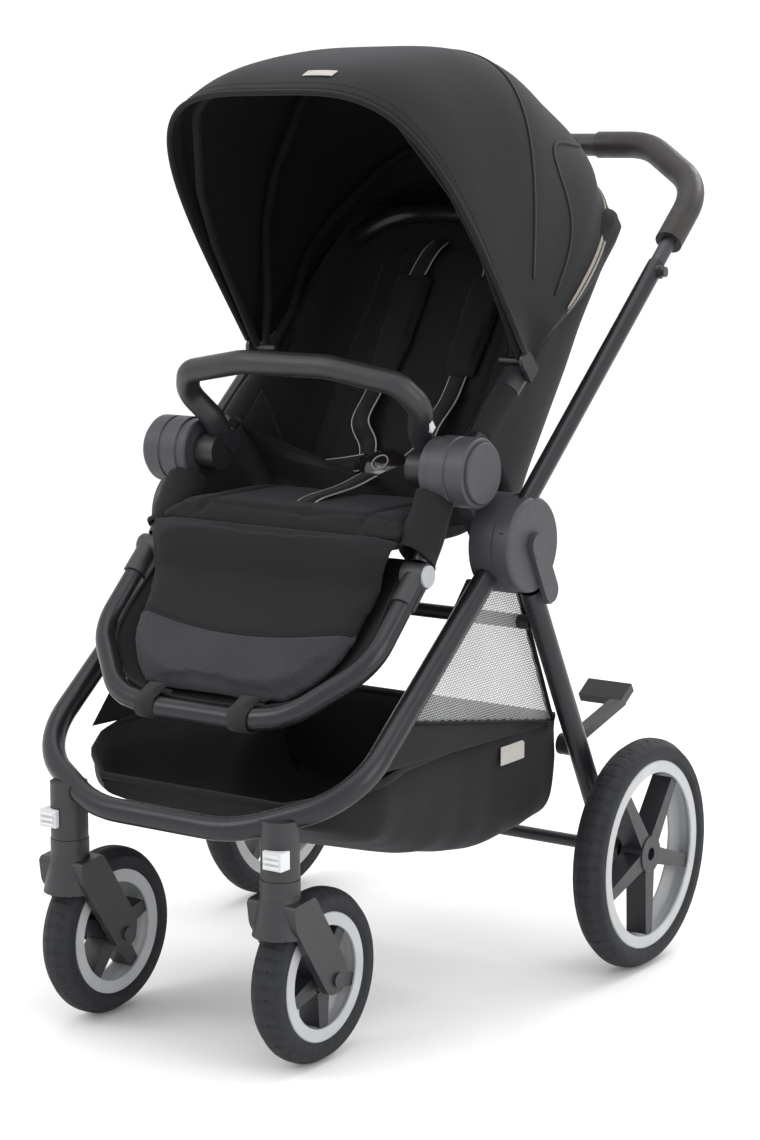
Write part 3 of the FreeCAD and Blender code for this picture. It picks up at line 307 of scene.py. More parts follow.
def new_piece(name, points, faces, finish, body=None, smooth=True):
    mesh = bpy.data.meshes.new(name)
    mesh.from_pydata([tuple(p) for p in points], [], faces)
    mesh.validate()
    mesh.update()
    obj = bpy.data.objects.new(name, mesh)
    bpy.context.scene.collection.objects.link(obj)
    mesh.materials.append(finish.mat)
    weld(obj)
    if smooth:
        smooth_shade(obj)
    if body:
        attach(obj, body)
    return obj


def grid_faces(rows, cols, wrap_rows=False, wrap_cols=False, start=0):
    faces = []
    for i in range(rows if wrap_rows else rows - 1):
        for j in range(cols if wrap_cols else cols - 1):
            a, b = i % rows, (i + 1) % rows
            c, d = j % cols, (j + 1) % cols
            faces.append((start + a * cols + c, start + a * cols + d, start + b * cols + d, start + b * cols + c))
    return faces


def grid_piece(name, rows, finish, wrap_cols=False):
    """Piece made from rows of points."""
    flat = [p for row in rows for p in row]
    return new_piece(name, flat, grid_faces(len(rows), len(rows[0]), wrap_cols=wrap_cols), finish)


def apply_modifier(obj, kind, **settings):
    modifier = obj.modifiers.new(kind.lower(), kind)
    for key, value in settings.items():
        setattr(modifier, key, value)
    with bpy.context.temp_override(object=obj, active_object=obj, selected_objects=[obj]):
        bpy.ops.object.modifier_apply(modifier=modifier.name)
    return obj


def vertex_data(obj, key="co"):
    values = np.zeros(len(obj.data.vertices) * 3)
    obj.data.vertices.foreach_get(key, values)
    return values.reshape(-1, 3)


def set_coordinates(obj, co):
    obj.data.vertices.foreach_set("co", np.asarray(co, float).ravel())
    obj.data.update()


def smooth_shade(obj):
    obj.data.polygons.foreach_set("use_smooth", [True] * len(obj.data.polygons))
    return obj


def sweep(name, path, profile, finish, body=None, up=Vector((0, 0, 1)), closed=False):
    """Closed profile of (across, up) offsets swept along a path of points."""
    path = [Vector(p) for p in path]
    count, points = len(path), []
    normal = None
    for i, p in enumerate(path):
        ahead = path[(i + 1) % count] if closed or i + 1 < count else p
        behind = path[i - 1] if closed or i else p
        along = (ahead - behind).normalized()
        guide = up(i) if callable(up) else (normal or up)
        across = along.cross(guide)
        across = across.normalized() if across.length > 1e-6 else along.orthogonal().normalized()
        normal = across.cross(along).normalized()
        points.extend(p + across * a + normal * b for a, b in profile)
    faces = grid_faces(count, len(profile), wrap_rows=closed, wrap_cols=True)
    if not closed:
        faces.append(tuple(range(len(profile))))
        faces.append(tuple(range(len(points) - len(profile), len(points))))
    return new_piece(name, points, faces, finish, body)


def circle(radius, count=12, squash=1.0):
    turns = [2 * math.pi * i / count for i in range(count)]
    return [(radius * math.cos(t), radius * squash * math.sin(t)) for t in turns]


def flat_strip(width, thick):
    return [(-width / 2, -thick / 2), (width / 2, -thick / 2), (width / 2, thick / 2), (-width / 2, thick / 2)]


def smooth_line(points, steps=8):
    """Catmull-Rom line through the given points."""
    points = [Vector(p) for p in points]
    ends = [points[0] * 2 - points[1]] + points + [points[-1] * 2 - points[-2]]
    line = []
    for i in range(1, len(ends) - 2):
        p0, p1, p2, p3 = ends[i - 1:i + 3]
        for k in range(steps):
            t = k / steps
            line.append(0.5 * ((2 * p1) + (p2 - p0) * t + (2 * p0 - 5 * p1 + 4 * p2 - p3) * t * t
                               + (3 * p1 - p0 - 3 * p2 + p3) * t ** 3))
    line.append(points[-1])
    return line


def spaced(line, pitch):
    """Points at even pitch along a line, with the direction at each."""
    found, left = [], 0.0
    for a, b in zip(line, line[1:]):
        length = (b - a).length
        while left < length:
            found.append((a.lerp(b, left / max(length, 1e-9)), (b - a).normalized()))
            left += pitch
        left -= length
    return found


def tree_of(obj):
    return BVHTree.FromPolygons([v.co for v in obj.data.vertices], [tuple(p.vertices) for p in obj.data.polygons])


def laid_on(tree, points, toward, lift=0.0):
    """Points moved along toward until they meet a surface, then lifted off it."""
    placed, normals = [], []
    for p in points:
        start = Vector(p) - toward * 0.08
        hit, normal, _, _ = tree.ray_cast(start, toward, 0.25)
        if hit is None:
            hit, normal, _, _ = tree.find_nearest(p)
        if normal.dot(toward) > 0:
            normal = -normal
        placed.append(hit + normal * lift)
        normals.append(normal)
    return placed, normals


def stitches(name, line, normals, finish, pitch=0.0052, length=0.0034, radius=0.00042):
    """A row of short thread stitches that follow a line on a surface, as one mesh."""
    points, faces = [], []
    samples = spaced(line, pitch)
    lengths = np.cumsum([0] + [(b - a).length for a, b in zip(line, line[1:])])
    for k, (p, along) in enumerate(samples):
        index = int(min(np.searchsorted(lengths, k * pitch), len(normals) - 1))
        normal = normals[index]
        across = along.cross(normal).normalized()
        start = len(points)
        for end, size in ((-0.5, 0.3), (-0.3, 1), (0.3, 1), (0.5, 0.3)):
            for a, b in ((-1, 0), (0, 1), (1, 0), (0, -1)):
                points.append(p + along * length * end + (across * a + normal * b) * radius * size)
        faces.extend(grid_faces(4, 4, wrap_cols=True, start=start))
        faces.append((start, start + 1, start + 2, start + 3))
        faces.append((start + 12, start + 13, start + 14, start + 15))
    return new_piece(name, points, faces, finish)


STITCH_LIFT = 0.0003


def groove(obj, line, width, depth):
    """Presses the surface in along a line, as a sewn seam does."""
    co = vertex_data(obj)
    dense = np.array([tuple(p) for p, _ in spaced(line, width * 0.5)])
    nearest = np.full(len(co), 1e9)
    for p in dense:
        nearest = np.minimum(nearest, ((co - p) ** 2).sum(1))
    press = depth * np.exp(-nearest / (width * width))
    set_coordinates(obj, co - vertex_data(obj, "normal") * press[:, None])


def pillow(name, spots, half_width, thickness, finish, cols=26, edge=2.6, dish=0.0):
    """Closed crowned form: spots is a list of (y, z, (normal_y, normal_z)) down its middle."""
    rows = len(spots)
    points, faces = [], []
    for face_side in (1, -1):
        for i, (y, z, normal) in enumerate(spots):
            v = 2 * i / (rows - 1) - 1
            w = half_width[i]
            for j in range(cols):
                u = math.sin((2 * j / (cols - 1) - 1) * math.pi / 2)
                crown = ((1 - abs(u) ** edge) * (1 - abs(v) ** (edge * 2))) ** 0.5
                lift = face_side * crown * thickness / 2 + dish * u * u
                points.append(Vector((u * w, y + normal[0] * lift, z + normal[1] * lift)))
    faces = grid_faces(rows, cols) + [f[::-1] for f in grid_faces(rows, cols, start=rows * cols)]
    return smooth_shade(weld(new_piece(name, points, faces, finish), 0.0002))


SIM_FRAMES = 20
CLOTH = {"quality": 5, "mass": 0.3, "tension_stiffness": 12, "compression_stiffness": 12, "shear_stiffness": 5,
         "bending_stiffness": 0.4, "use_pressure": True, "uniform_pressure_force": 4.0}


def swell(obj, cap=0.007, voxel=0.005):
    """Inflates a closed form as a stuffed pad with a short cloth simulation."""
    apply_modifier(obj, "REMESH", mode="VOXEL", voxel_size=voxel)
    start = vertex_data(obj)
    modifier = obj.modifiers.new("cloth", "CLOTH")
    for key, value in CLOTH.items():
        setattr(modifier.settings, key, value)
    modifier.settings.effector_weights.gravity = 0
    modifier.point_cache.frame_start, modifier.point_cache.frame_end = 1, SIM_FRAMES
    scene = bpy.context.scene
    for number in range(1, SIM_FRAMES + 1):
        scene.frame_set(number)
    shape = obj.evaluated_get(bpy.context.evaluated_depsgraph_get())
    move = vertex_data(shape) - start
    size = np.linalg.norm(move, axis=1, keepdims=True)
    move *= np.minimum(1.0, cap / np.maximum(size, 1e-9))
    obj.modifiers.remove(modifier)
    set_coordinates(obj, start + np.nan_to_num(move))
    scene.frame_set(1)
    apply_modifier(obj, "SUBSURF", levels=1, render_levels=1)
    return smooth_shade(obj)


def thicken(obj, thickness, offset=0.0):
    return smooth_shade(apply_modifier(obj, "SOLIDIFY", thickness=thickness, offset=offset))


# ---------------------------------------------------------------- camera, light and floor
CAMERA_PLACE = Vector((1.736, -2.523, 0.992))
CAMERA_AZIMUTH = math.radians(34.41)
CAMERA_HEIGHT = math.radians(9.35)
LENS_MM = 81.0

WORLD_STRENGTH = 1.12
FLOOR_HALF = 9.0
FLOOR_DROP = -0.0005


def aimed(place, back):
    """Matrix of a camera or lamp whose back points along back."""
    return Matrix.Translation(place) @ back.to_track_quat("Z", "Y").to_matrix().to_4x4()


scene = bpy.context.scene
scene.view_settings.view_transform = "Standard"
camera_data = bpy.data.cameras.new("camera")
camera_data.lens = LENS_MM
camera = bpy.data.objects.new("camera", camera_data)
scene.collection.objects.link(camera)
back = Vector((math.sin(CAMERA_AZIMUTH) * math.cos(CAMERA_HEIGHT),
               -math.cos(CAMERA_AZIMUTH) * math.cos(CAMERA_HEIGHT), math.sin(CAMERA_HEIGHT)))
camera.matrix_world = aimed(CAMERA_PLACE, back)
scene.camera = camera

world = bpy.data.worlds.new("studio")
world.use_nodes = True
sky = world.node_tree.nodes["Background"].inputs
sky["Color"].default_value = (1, 1, 1, 1)
sky["Strength"].default_value = WORLD_STRENGTH
scene.world = world


def softbox(name, place, aim, size, power):
    data = bpy.data.lights.new(name, "AREA")
    data.shape = "RECTANGLE"
    data.size, data.size_y = size
    data.energy = power
    lamp = bpy.data.objects.new(name, data)
    scene.collection.objects.link(lamp)
    lamp.matrix_world = aimed(Vector(place), Vector(place) - Vector(aim))


softbox("key", (-1.6, -2.4, 2.6), (0, 0, 0.5), (1.6, 1.6), 26)
softbox("fill", (2.8, -0.6, 1.6), (0, 0, 0.6), (1.4, 2.0), 24)
softbox("rim", (0.6, 2.4, 2.4), (0, 0, 0.7), (2.0, 1.0), 30)
softbox("top", (0, -0.2, 3.2), (0, 0, 0.5), (2.4, 2.4), 22)

floor_finish = Finish("floor_white", (0.93, 0.93, 0.93), 0.9)
floor_finish.tint(floor_finish.noise(3, 2), 0.995, 1.005)
floor_corners = [(FLOOR_HALF * a, FLOOR_HALF * b, FLOOR_DROP) for a, b in ((-1, -1), (1, -1), (1, 1), (-1, 1))]
new_piece("floor", floor_corners, [(0, 1, 2, 3)], floor_finish)


# ---------------------------------------------------------------- canopy
RIBS = [(127, 0.202, 0.384), (105, 0.202, 0.372), (84, 0.202, 0.359), (68, 0.202, 0.352), (52, 0.202, 0.350),
        (40, 0.202, 0.350), (33, 0.202, 0.350), (28, 0.198, 0.338), (24, 0.191, 0.296)]
BOW_ANGLES = (124, 84, 47, 33)
ARCH_POWER = 3.9
FOOT_RISE = 0.012
CANOPY_SAG = 0.007


def rib_values(angle):
    table = sorted(RIBS)
    angles = [row[0] for row in table]
    return [float(np.interp(angle, angles, [row[k] for row in table])) for k in (1, 2)]


def canopy_point(angle, turn, inset=0.0):
    """Point of the hood: angle fans about the hinge, turn runs over the arch from 0 to 1."""
    half, height = rib_values(angle)
    bows = sorted(BOW_ANGLES)
    sag = 0.0
    for low, high in zip(bows, bows[1:]):
        if low < angle < high:
            sag = math.sin(math.pi * (angle - low) / (high - low)) ** 2 * CANOPY_SAG
    theta = math.pi * turn
    x = math.copysign(abs(math.cos(theta)) ** (2 / ARCH_POWER), math.cos(theta))
    rise = abs(math.sin(theta)) ** (2 / ARCH_POWER)
    inset += sag * rise * rise
    reach = FOOT_RISE + (height - FOOT_RISE - inset) * rise
    radians = math.radians(angle)
    return Vector(((half - inset * 0.6) * x, PIVOT[0] + reach * math.cos(radians),
                   PIVOT[1] + reach * math.sin(radians)))


def fold_with_canopy(obj):
    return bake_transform(obj)


def canopy():
    angles = np.linspace(127.0, 24.0, 88)
    turns = np.linspace(0.0, 1.0, 97)
    hood = grid_piece("canopy_hood", [[canopy_point(a, t) for t in turns] for a in angles], CANOPY_CLOTH)
    # The hood's inner face takes the darker lining cloth, painted shade inside the hood.
    hood.data.materials.append(SHADED_LINING.mat)
    apply_modifier(hood, "SOLIDIFY", thickness=0.0022, offset=-1.0 if outward(hood) else 1.0, material_offset=1,
                   material_offset_rim=0)
    smooth_shade(hood)
    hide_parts("canopy_fabric")
    fold_with_canopy(hood)
    line = [canopy_point(127.4, t, 0.001) for t in turns]
    hem = sweep("canopy_hem", line, circle(0.0034, 10), CANOPY_CLOTH)
    seam_on_hood("canopy_hem_stitch", lambda t: 124.6)
    seam_on_hood("canopy_bow_seam", lambda t: 52 + 20 * math.exp(-((t - 0.17) / 0.07) ** 2)
                 + 20 * math.exp(-((t - 0.83) / 0.07) ** 2), ridge=True)
    seam_on_hood("canopy_top_seam", lambda t: 85.5, span=(0.02, 0.98), ridge=True)
    zip_on_hood()
    fold_with_canopy(hem)


def outward(obj):
    """Whether most normals of an open sheet point away from the hinge line."""
    away = 0.0
    for polygon in obj.data.polygons:
        c = polygon.center
        away += polygon.normal.dot(Vector((c.x, c.y - PIVOT[0], c.z - PIVOT[1])))
    return away > 0


def hood_line(angle_at, span, count=121, lift=0.0):
    line, normals = [], []
    for t in np.linspace(*span, count):
        angle = angle_at(t)
        p = canopy_point(angle, t)
        du = canopy_point(angle, min(t + 0.004, 1)) - canopy_point(angle, max(t - 0.004, 0))
        dv = canopy_point(angle + 0.6, t) - canopy_point(angle - 0.6, t)
        normal = du.cross(dv).normalized()
        if normal.dot(Vector((p.x, p.y - PIVOT[0], p.z - PIVOT[1]))) < 0:
            normal = -normal
        line.append(p + normal * lift)
        normals.append(normal)
    return line, normals


def seam_on_hood(name, angle_at, span=(0.02, 0.98), ridge=False):
    line, normals = hood_line(angle_at, span, lift=0.0004)
    if ridge:
        fold_with_canopy(sweep(name, line, flat_strip(0.0052, 0.0014), CANOPY_CLOTH, up=lambda i: normals[i]))
        line = [p + n * 0.0006 for p, n in zip(line, normals)]
    fold_with_canopy(stitches(name + "_thread", line, normals, THREAD))


def zip_angle(t):
    return 30.5 + 8.0 * min(1.0, math.sin(math.pi * t) ** 0.6 * 1.05)


def zip_on_hood():
    """Zip between the hood and its rear panel: tape and coil."""
    line, normals = hood_line(zip_angle, (0.025, 0.975), 161, 0.0008)
    tape = sweep("canopy_zip_tape", line, flat_strip(0.011, 0.0012), ZIP_TAPE, up=lambda i: normals[i])
    coil = [p + n * 0.0010 for p, n in zip(line, normals)]
    teeth = stitches("canopy_zip_coil", coil, normals, WEBBING, 0.0032, 0.0022, 0.0011)
    for obj in (tape, teeth):
        fold_with_canopy(obj)


def blank_tag(name, place, across, along, body, size=(0.040, 0.013), fold=None):
    """Small blank woven label with a folded edge, lying on cloth."""
    normal = across.cross(along).normalized()
    points, rows, cols = [], 3, 7
    for layer in (0.0, 0.0008):
        for i in range(rows):
            for j in range(cols):
                u, v = j / (cols - 1) - 0.5, i / (rows - 1) - 0.5
                bulge = 0.0006 * (1 - (2 * u) ** 2)
                points.append(place + across * u * size[0] + along * v * size[1] + normal * (layer + bulge))
    faces = grid_faces(rows, cols) + grid_faces(rows, cols, start=rows * cols)
    edge = [j for j in range(cols)] + [cols * i + cols - 1 for i in range(1, rows)]
    edge += [cols * (rows - 1) + j for j in range(cols - 2, -1, -1)] + [cols * i for i in range(rows - 2, 0, -1)]
    top = rows * cols
    for a, b in zip(edge, edge[1:] + edge[:1]):
        faces.append((a, b, b + top, a + top))
    obj = new_piece(name, points, faces, TAG, smooth=False)
    if fold:
        fold(obj)
    else:
        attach(obj, body)
    return obj


canopy()
brim_line, brim_normals = hood_line(lambda t: 121.5, (0.44, 0.52), 9, 0.0006)
mid = len(brim_line) // 2
tag_across = (brim_line[-1] - brim_line[0]).normalized()
blank_tag("canopy_tag", brim_line[mid], tag_across, brim_normals[mid].cross(tag_across), None,
          fold=fold_with_canopy)


# ---------------------------------------------------------------- seat shell behind and beside the child
def pad_lift(run):
    """Height of the back cushion's front face over the back tube line."""
    return -0.1175 + 0.3106 * (run - 0.077)


BACK_TUBE_X = 0.177


def back_shell():
    """Cloth bucket: it wraps both back tubes, runs down to the cushion and closes behind it."""
    points = []
    runs = list(np.linspace(0.062, 0.445, 30)) + [0.458, 0.466, 0.470]
    for index, run in enumerate(runs):
        front = min(pad_lift(run), -0.006)
        rear = min(front - 0.034, -0.052)
        shrink = max(0, index - 29) / 3
        wrap = 0.0158 * (1 - 0.25 * shrink)
        half = [(0.0, front - 0.004), (0.07, front - 0.004), (0.128, front - 0.001), (0.147, front + 0.006),
                (0.1555, front * 0.6), (0.1600, front * 0.22)]
        for degrees in (165, 125, 85, 45, 5, -35):
            turn = math.radians(degrees)
            half.append((BACK_TUBE_X + wrap * math.cos(turn), wrap * math.sin(turn)))
        half += [(0.1895, -0.022), (0.186, rear * 0.55), (0.176, rear * 0.86), (0.155, rear - 0.001),
                 (0.10, rear - 0.006), (0.05, rear - 0.008), (0.0, rear - 0.009)]
        squeeze = [(x * (1 - 0.03 * shrink), lift * (1 - 0.25 * shrink) - 0.01 * shrink) for x, lift in half]
        ring = squeeze + [(-x, lift) for x, lift in squeeze[-2:0:-1]]
        points.append([BACK.at(x, run, lift) for x, lift in ring])
    cols = len(points[0])
    flat = [p for ring in points for p in ring]
    faces = grid_faces(len(points), cols, wrap_cols=True)
    faces.append(tuple(range(cols)))
    faces.append(tuple(range(len(flat) - cols, len(flat))))
    shell = new_piece("back_cover", flat, faces, FABRIC)
    apply_modifier(shell, "SUBSURF", levels=1, render_levels=1)
    smooth_shade(shell)
    ripple(shell, 0.0016, 26)
    BACK.at(0, 0.035, -0.03)
    BACK.at(0, 0.105, -0.03)
    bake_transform(shell)
    tree = tree_of(shell)
    for label, side in SIDES:
        rough = [BACK.at(side * 0.150, run, -0.2) for run in np.linspace(0.08, 0.45, 40)]
        line, normals = laid_on(tree, rough, BACK.at(0, 0, 1) - BACK.at(0, 0, 0), 0.0006)
        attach(sweep(f"back_seam_{label}", line, flat_strip(0.005, 0.0016), FABRIC,
                      up=lambda i, n=normals: n[i]), "backrest")
        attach(stitches(f"back_seam_thread_{label}", [p + n * 0.0009 for p, n in zip(line, normals)], normals,
                         THREAD), "backrest")


def ripple(obj, depth, scale, amount=(1, 1, 1)):
    """Soft uneven drape pressed into a cloth shape, the same every run."""
    co = vertex_data(obj)
    waves = np.zeros(len(co))
    source = np.random.default_rng(11)
    for _ in range(9):
        direction = source.normal(size=3) * np.array(amount)
        direction /= np.linalg.norm(direction)
        waves += np.sin(co @ direction * scale * source.uniform(0.6, 2.4) + source.uniform(0, 6.3))
    set_coordinates(obj, co + vertex_data(obj, "normal") * (waves / 4 * depth)[:, None])


def pad_spots(side, runs, lift):
    normal = side.at(0, 0, 1) - side.at(0, 0, 0)
    spots = []
    for run in runs:
        y, z = side.yz(run, lift(run) if callable(lift) else lift)
        spots.append((y, z, (normal.y, normal.z)))
    return spots


def quilt(cushion, lines, toward, depth, body):
    """Sews a row of stitches in a groove along each line."""
    tree = tree_of(cushion)
    for rough in lines:
        groove(cushion, laid_on(tree, rough, toward)[0], 0.0045, depth)
    tree = tree_of(cushion)
    for index, rough in enumerate(lines):
        line, normals = laid_on(tree, rough, toward, STITCH_LIFT)
        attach(stitches(f"{cushion.name}_thread_{index}", line, normals, THREAD), body)


def back_cushion():
    runs = np.linspace(0.004, 0.364, 30)
    widths = [0.146 - 0.008 * (r / 0.364) for r in runs]
    cushion = pillow("back_cushion", pad_spots(PAD, runs, -0.008), widths, 0.030, FABRIC, dish=0.010)
    swell(cushion, cap=0.007)
    inward = PAD.at(0, 0, -1) - PAD.at(0, 0, 0)
    lines = []
    for side in (-1, 1):
        lines.append([PAD.at(side * (0.098 - 0.02 * r), r, 0.03) for r in np.linspace(0.02, 0.35, 60)])
    lines.append([PAD.at(x, 0.118 + 0.02 * (x / 0.1) ** 2, 0.03) for x in np.linspace(-0.095, 0.095, 40)])
    quilt(cushion, lines, inward, 0.0034, "backrest")
    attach(cushion, "backrest")
    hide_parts("backrest_pad")


def seat_cushion():
    runs = np.linspace(0.0, 0.206, 22)
    cushion = pillow("seat_cushion", pad_spots(SEAT, runs, -0.014), [0.174] * len(runs), 0.034, FABRIC,
                     edge=4.0, dish=0.006)
    swell(cushion, cap=0.008)
    lines = [[SEAT.at(side * 0.115, r, 0.03) for r in np.linspace(0.02, 0.19, 34)] for side in (-1, 1)]
    lines.append([SEAT.at(x, 0.028, 0.03) for x in np.linspace(-0.15, 0.15, 60)])
    quilt(cushion, lines, Vector((0, 0, -1)), 0.003, "seat")
    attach(cushion, "seat")
    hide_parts("seat_base_pad")


COVER_LINE = [(0.036, 0.006), (0.070, -0.001), (0.105, -0.005), (0.145, -0.006), (0.191, -0.005)]


def leg_cover():
    """Padded front: it rolls over the seat's edge and lies on the leg rest."""
    top_y, top_z = SEAT.yz(0.006, -0.006)
    knee = [(top_y + 0.004, top_z - 0.002), (top_y - 0.010, top_z - 0.014), (top_y - 0.014, top_z - 0.036)]
    path = [Vector((0, y, z)) for y, z in knee] + [LEG.at(0, run, lift) for run, lift in COVER_LINE]
    line = smooth_line(path, 6)
    spots, widths = [], []
    total = sum((b - a).length for a, b in zip(line, line[1:]))
    gone = 0.0
    for i, p in enumerate(line):
        ahead = line[min(i + 1, len(line) - 1)] - line[max(i - 1, 0)]
        along = ahead.normalized()
        spots.append((p.y, p.z, (along.z, -along.y)))
        if i:
            gone += (p - line[i - 1]).length
        share = gone / total
        taper = max(0.0, (share - 0.50) / 0.50)
        widths.append(0.177 - 0.019 * min(1.0, share / 0.5) - 0.064 * taper ** 2.4)
    if spots[-1][2][0] > 0:
        spots = [(y, z, (-n[0], -n[1])) for y, z, n in spots]
    cover = pillow("leg_cover", spots, widths, 0.020, FABRIC, edge=6.0)
    swell(cover, cap=0.005)
    cover.data.materials.append(HEATHER.mat)

    def patch_run(x):
        return 0.112 - 0.022 * min(1.0, abs(x) / 0.150) ** 2

    axis = LEG.at(0, 1) - LEG.at(0, 0)
    origin = LEG.at(0, 0)
    for polygon in cover.data.polygons:
        if (polygon.center - origin).dot(axis) > patch_run(polygon.center.x):
            polygon.material_index = 1
    tree = tree_of(cover)
    front = LEG.at(0, 0, -1) - LEG.at(0, 0, 0)
    rough = [LEG.at(x, patch_run(x), 0.03) for x in np.linspace(-0.148, 0.148, 70)]
    line, normals = laid_on(tree, rough, front)
    groove(cover, line, 0.004, 0.0022)
    line, normals = laid_on(tree_of(cover), rough, front, 0.0006)
    welt = sweep("leg_patch_welt", line, circle(0.0011, 8), FABRIC)
    thread = stitches("leg_patch_thread", [p + axis * 0.004 for p in line], normals, THREAD)
    for obj in (welt, thread):
        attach(obj, "legrest")
    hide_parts("legrest_pad")
    LEG.at(0, -0.035)
    LEG.at(0, 0.03)
    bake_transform(cover)
    for index, x in enumerate((-0.065, 0.065)):
        strap_loop(f"leg_loop_{index}", x)
    leg_panel()


PANEL_OUTLINE = [(-0.022, 0.166), (0.002, 0.167), (0.030, 0.169), (0.070, 0.173), (0.105, 0.173), (0.126, 0.169),
                 (0.148, 0.158), (0.168, 0.141), (0.184, 0.118), (0.194, 0.092), (0.1995, 0.060), (0.2015, 0.0)]
PANEL_TOP = -0.022
PANEL_DEPTH = 0.026


def leg_panel():
    """Plain cloth stretched inside the leg rest loop, under the pad, with a piped edge."""
    runs = np.linspace(PANEL_TOP, 0.2012, 34)
    outline = np.array(PANEL_OUTLINE)
    rows = []
    for run in runs:
        half = float(np.interp(run, outline[:, 0], outline[:, 1]))
        sag = PANEL_DEPTH * math.sin(math.pi * min(1, (run - PANEL_TOP) / 0.232)) ** 0.6
        rows.append([LEG.at(u * half, run, -0.003 - sag * (1 - u ** 4)) for u in np.linspace(-1, 1, 33)])
    # The panel takes the darker lining cloth, painted shade under the pad.
    panel = grid_piece("leg_panel", rows, SHADED_LINING)
    thicken(panel, 0.0016)
    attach(panel, "legrest")
    edge = [LEG.at(-half, run, -0.001) for run, half in PANEL_OUTLINE]
    edge += [LEG.at(half, run, -0.001) for run, half in PANEL_OUTLINE[-2::-1]]
    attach(sweep("leg_panel_piping", smooth_line(edge, 5), circle(0.0021, 8), FABRIC), "legrest")


def strap_loop(name, x):
    """Short band from the leg pad's edge round the leg rest tube."""
    centre_run, radius = 0.218 - 0.012 * (abs(x) / 0.12) ** 3, 0.0142
    line = [LEG.at(x, 0.190, 0.006)]
    line += [LEG.at(x, centre_run + radius * math.cos(t), radius * math.sin(t))
             for t in np.radians(np.linspace(125, -125, 15))]
    line.append(LEG.at(x, 0.190, -0.004))
    sweep(name, line, flat_strip(0.026, 0.0016), WEBBING, "legrest")


def side_walls():
    """Cloth sides of the seat bucket, from the cushion up to the back cover."""
    for label, side in SIDES:
        low = [(DRUM.y - 0.050, SEAT.z + 0.004, 0.168), (DRUM.y + 0.030, SEAT.z - 0.010, 0.170),
               (DRUM.y + 0.120, SEAT.z - 0.012, 0.168), (DRUM.y + 0.175, SEAT.z - 0.008, 0.160)]
        high = [(DRUM.y - 0.047, DRUM.z - 0.074, 0.174), (DRUM.y - 0.018, DRUM.z - 0.028, 0.166)]
        high += [(BACK.at(0, run, 0.004).y, BACK.at(0, run, 0.004).z, 0.160) for run in (0.050, 0.125)]
        rows = []
        for t in np.linspace(0, 1, 15):
            spine = [Vector((side * (ax + (bx - ax) * t - 0.006 * math.sin(math.pi * t)),
                             ay + (by - ay) * t, az + (bz - az) * t))
                     for (ay, az, ax), (by, bz, bx) in zip(low, high)]
            rows.append(smooth_line(spine, 8))
        wall = grid_piece(f"side_wall_{label}", rows, FABRIC)
        ripple(wall, 0.0012, 40)
        thicken(wall, 0.0020)
        BACK.at(0, 0.120, 0.0)
        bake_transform(wall)


def cuffs():
    """Open cloth sleeves over the short side tubes."""
    cols = 32
    for label, side in SIDES:
        start = Vector((side * 0.186, DRUM.y - 0.016, DRUM.z - 0.026))
        end = Vector((side * 0.186, DRUM.y - 0.0585, DRUM.z - 0.0915))
        along = (end - start).normalized()
        across = Vector((1, 0, 0))
        lifted = across.cross(along).normalized()
        rings = []
        for t in np.linspace(0, 1, 19):
            c = start.lerp(end, t) + across * (-side * (0.009 - 0.003 * t))
            wide = 0.0215 + 0.0045 * math.sin(math.pi * min(1, t * 1.1)) + 0.0012 * math.sin(11 * t + side)
            deep = 0.0195 + 0.0040 * t + 0.0010 * math.sin(8 * t)
            rings.append([c + across * math.cos(a) * wide + lifted * math.sin(a) * deep
                          + along * 0.006 * t * math.sin(a + 0.6)
                          for a in np.linspace(0, 2 * math.pi, cols + 1)[:-1]])
        cuff = grid_piece(f"side_cuff_{label}", rings, FABRIC, wrap_cols=True)
        apply_modifier(cuff, "SUBSURF", levels=1, render_levels=1)
        ripple(cuff, 0.0012, 60)
        thicken(cuff, 0.0022, -1.0)
        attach(cuff, "seat")
        hem = sweep(f"side_cuff_hem_{label}", rings[-1], circle(0.0020, 8), FABRIC, closed=True)
        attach(hem, "seat")


back_shell()
side_walls()
back_cushion()
seat_cushion()
leg_cover()
cuffs()


# ---------------------------------------------------------------- harness
def webbing(name, path, body=None, width=0.022, ups=None, steps=8):
    """Flat strap with a light edge thread along both sides; returns its pieces."""
    line = smooth_line(path, steps)
    up = ups or Vector((0, -0.84, 0.54))
    made = [sweep(name, line, flat_strip(width, 0.0014), WEBBING, up=up)]
    for label, side in (("a", -1), ("b", 1)):
        offset = side * (width / 2 + 0.0004)
        profile = [(offset + a, b) for a, b in circle(0.0011, 6, 0.9)]
        made.append(sweep(f"{name}_edge_{label}", line, profile, EDGE, up=up))
    if body:
        for obj in made:
            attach(obj, body)
    return made


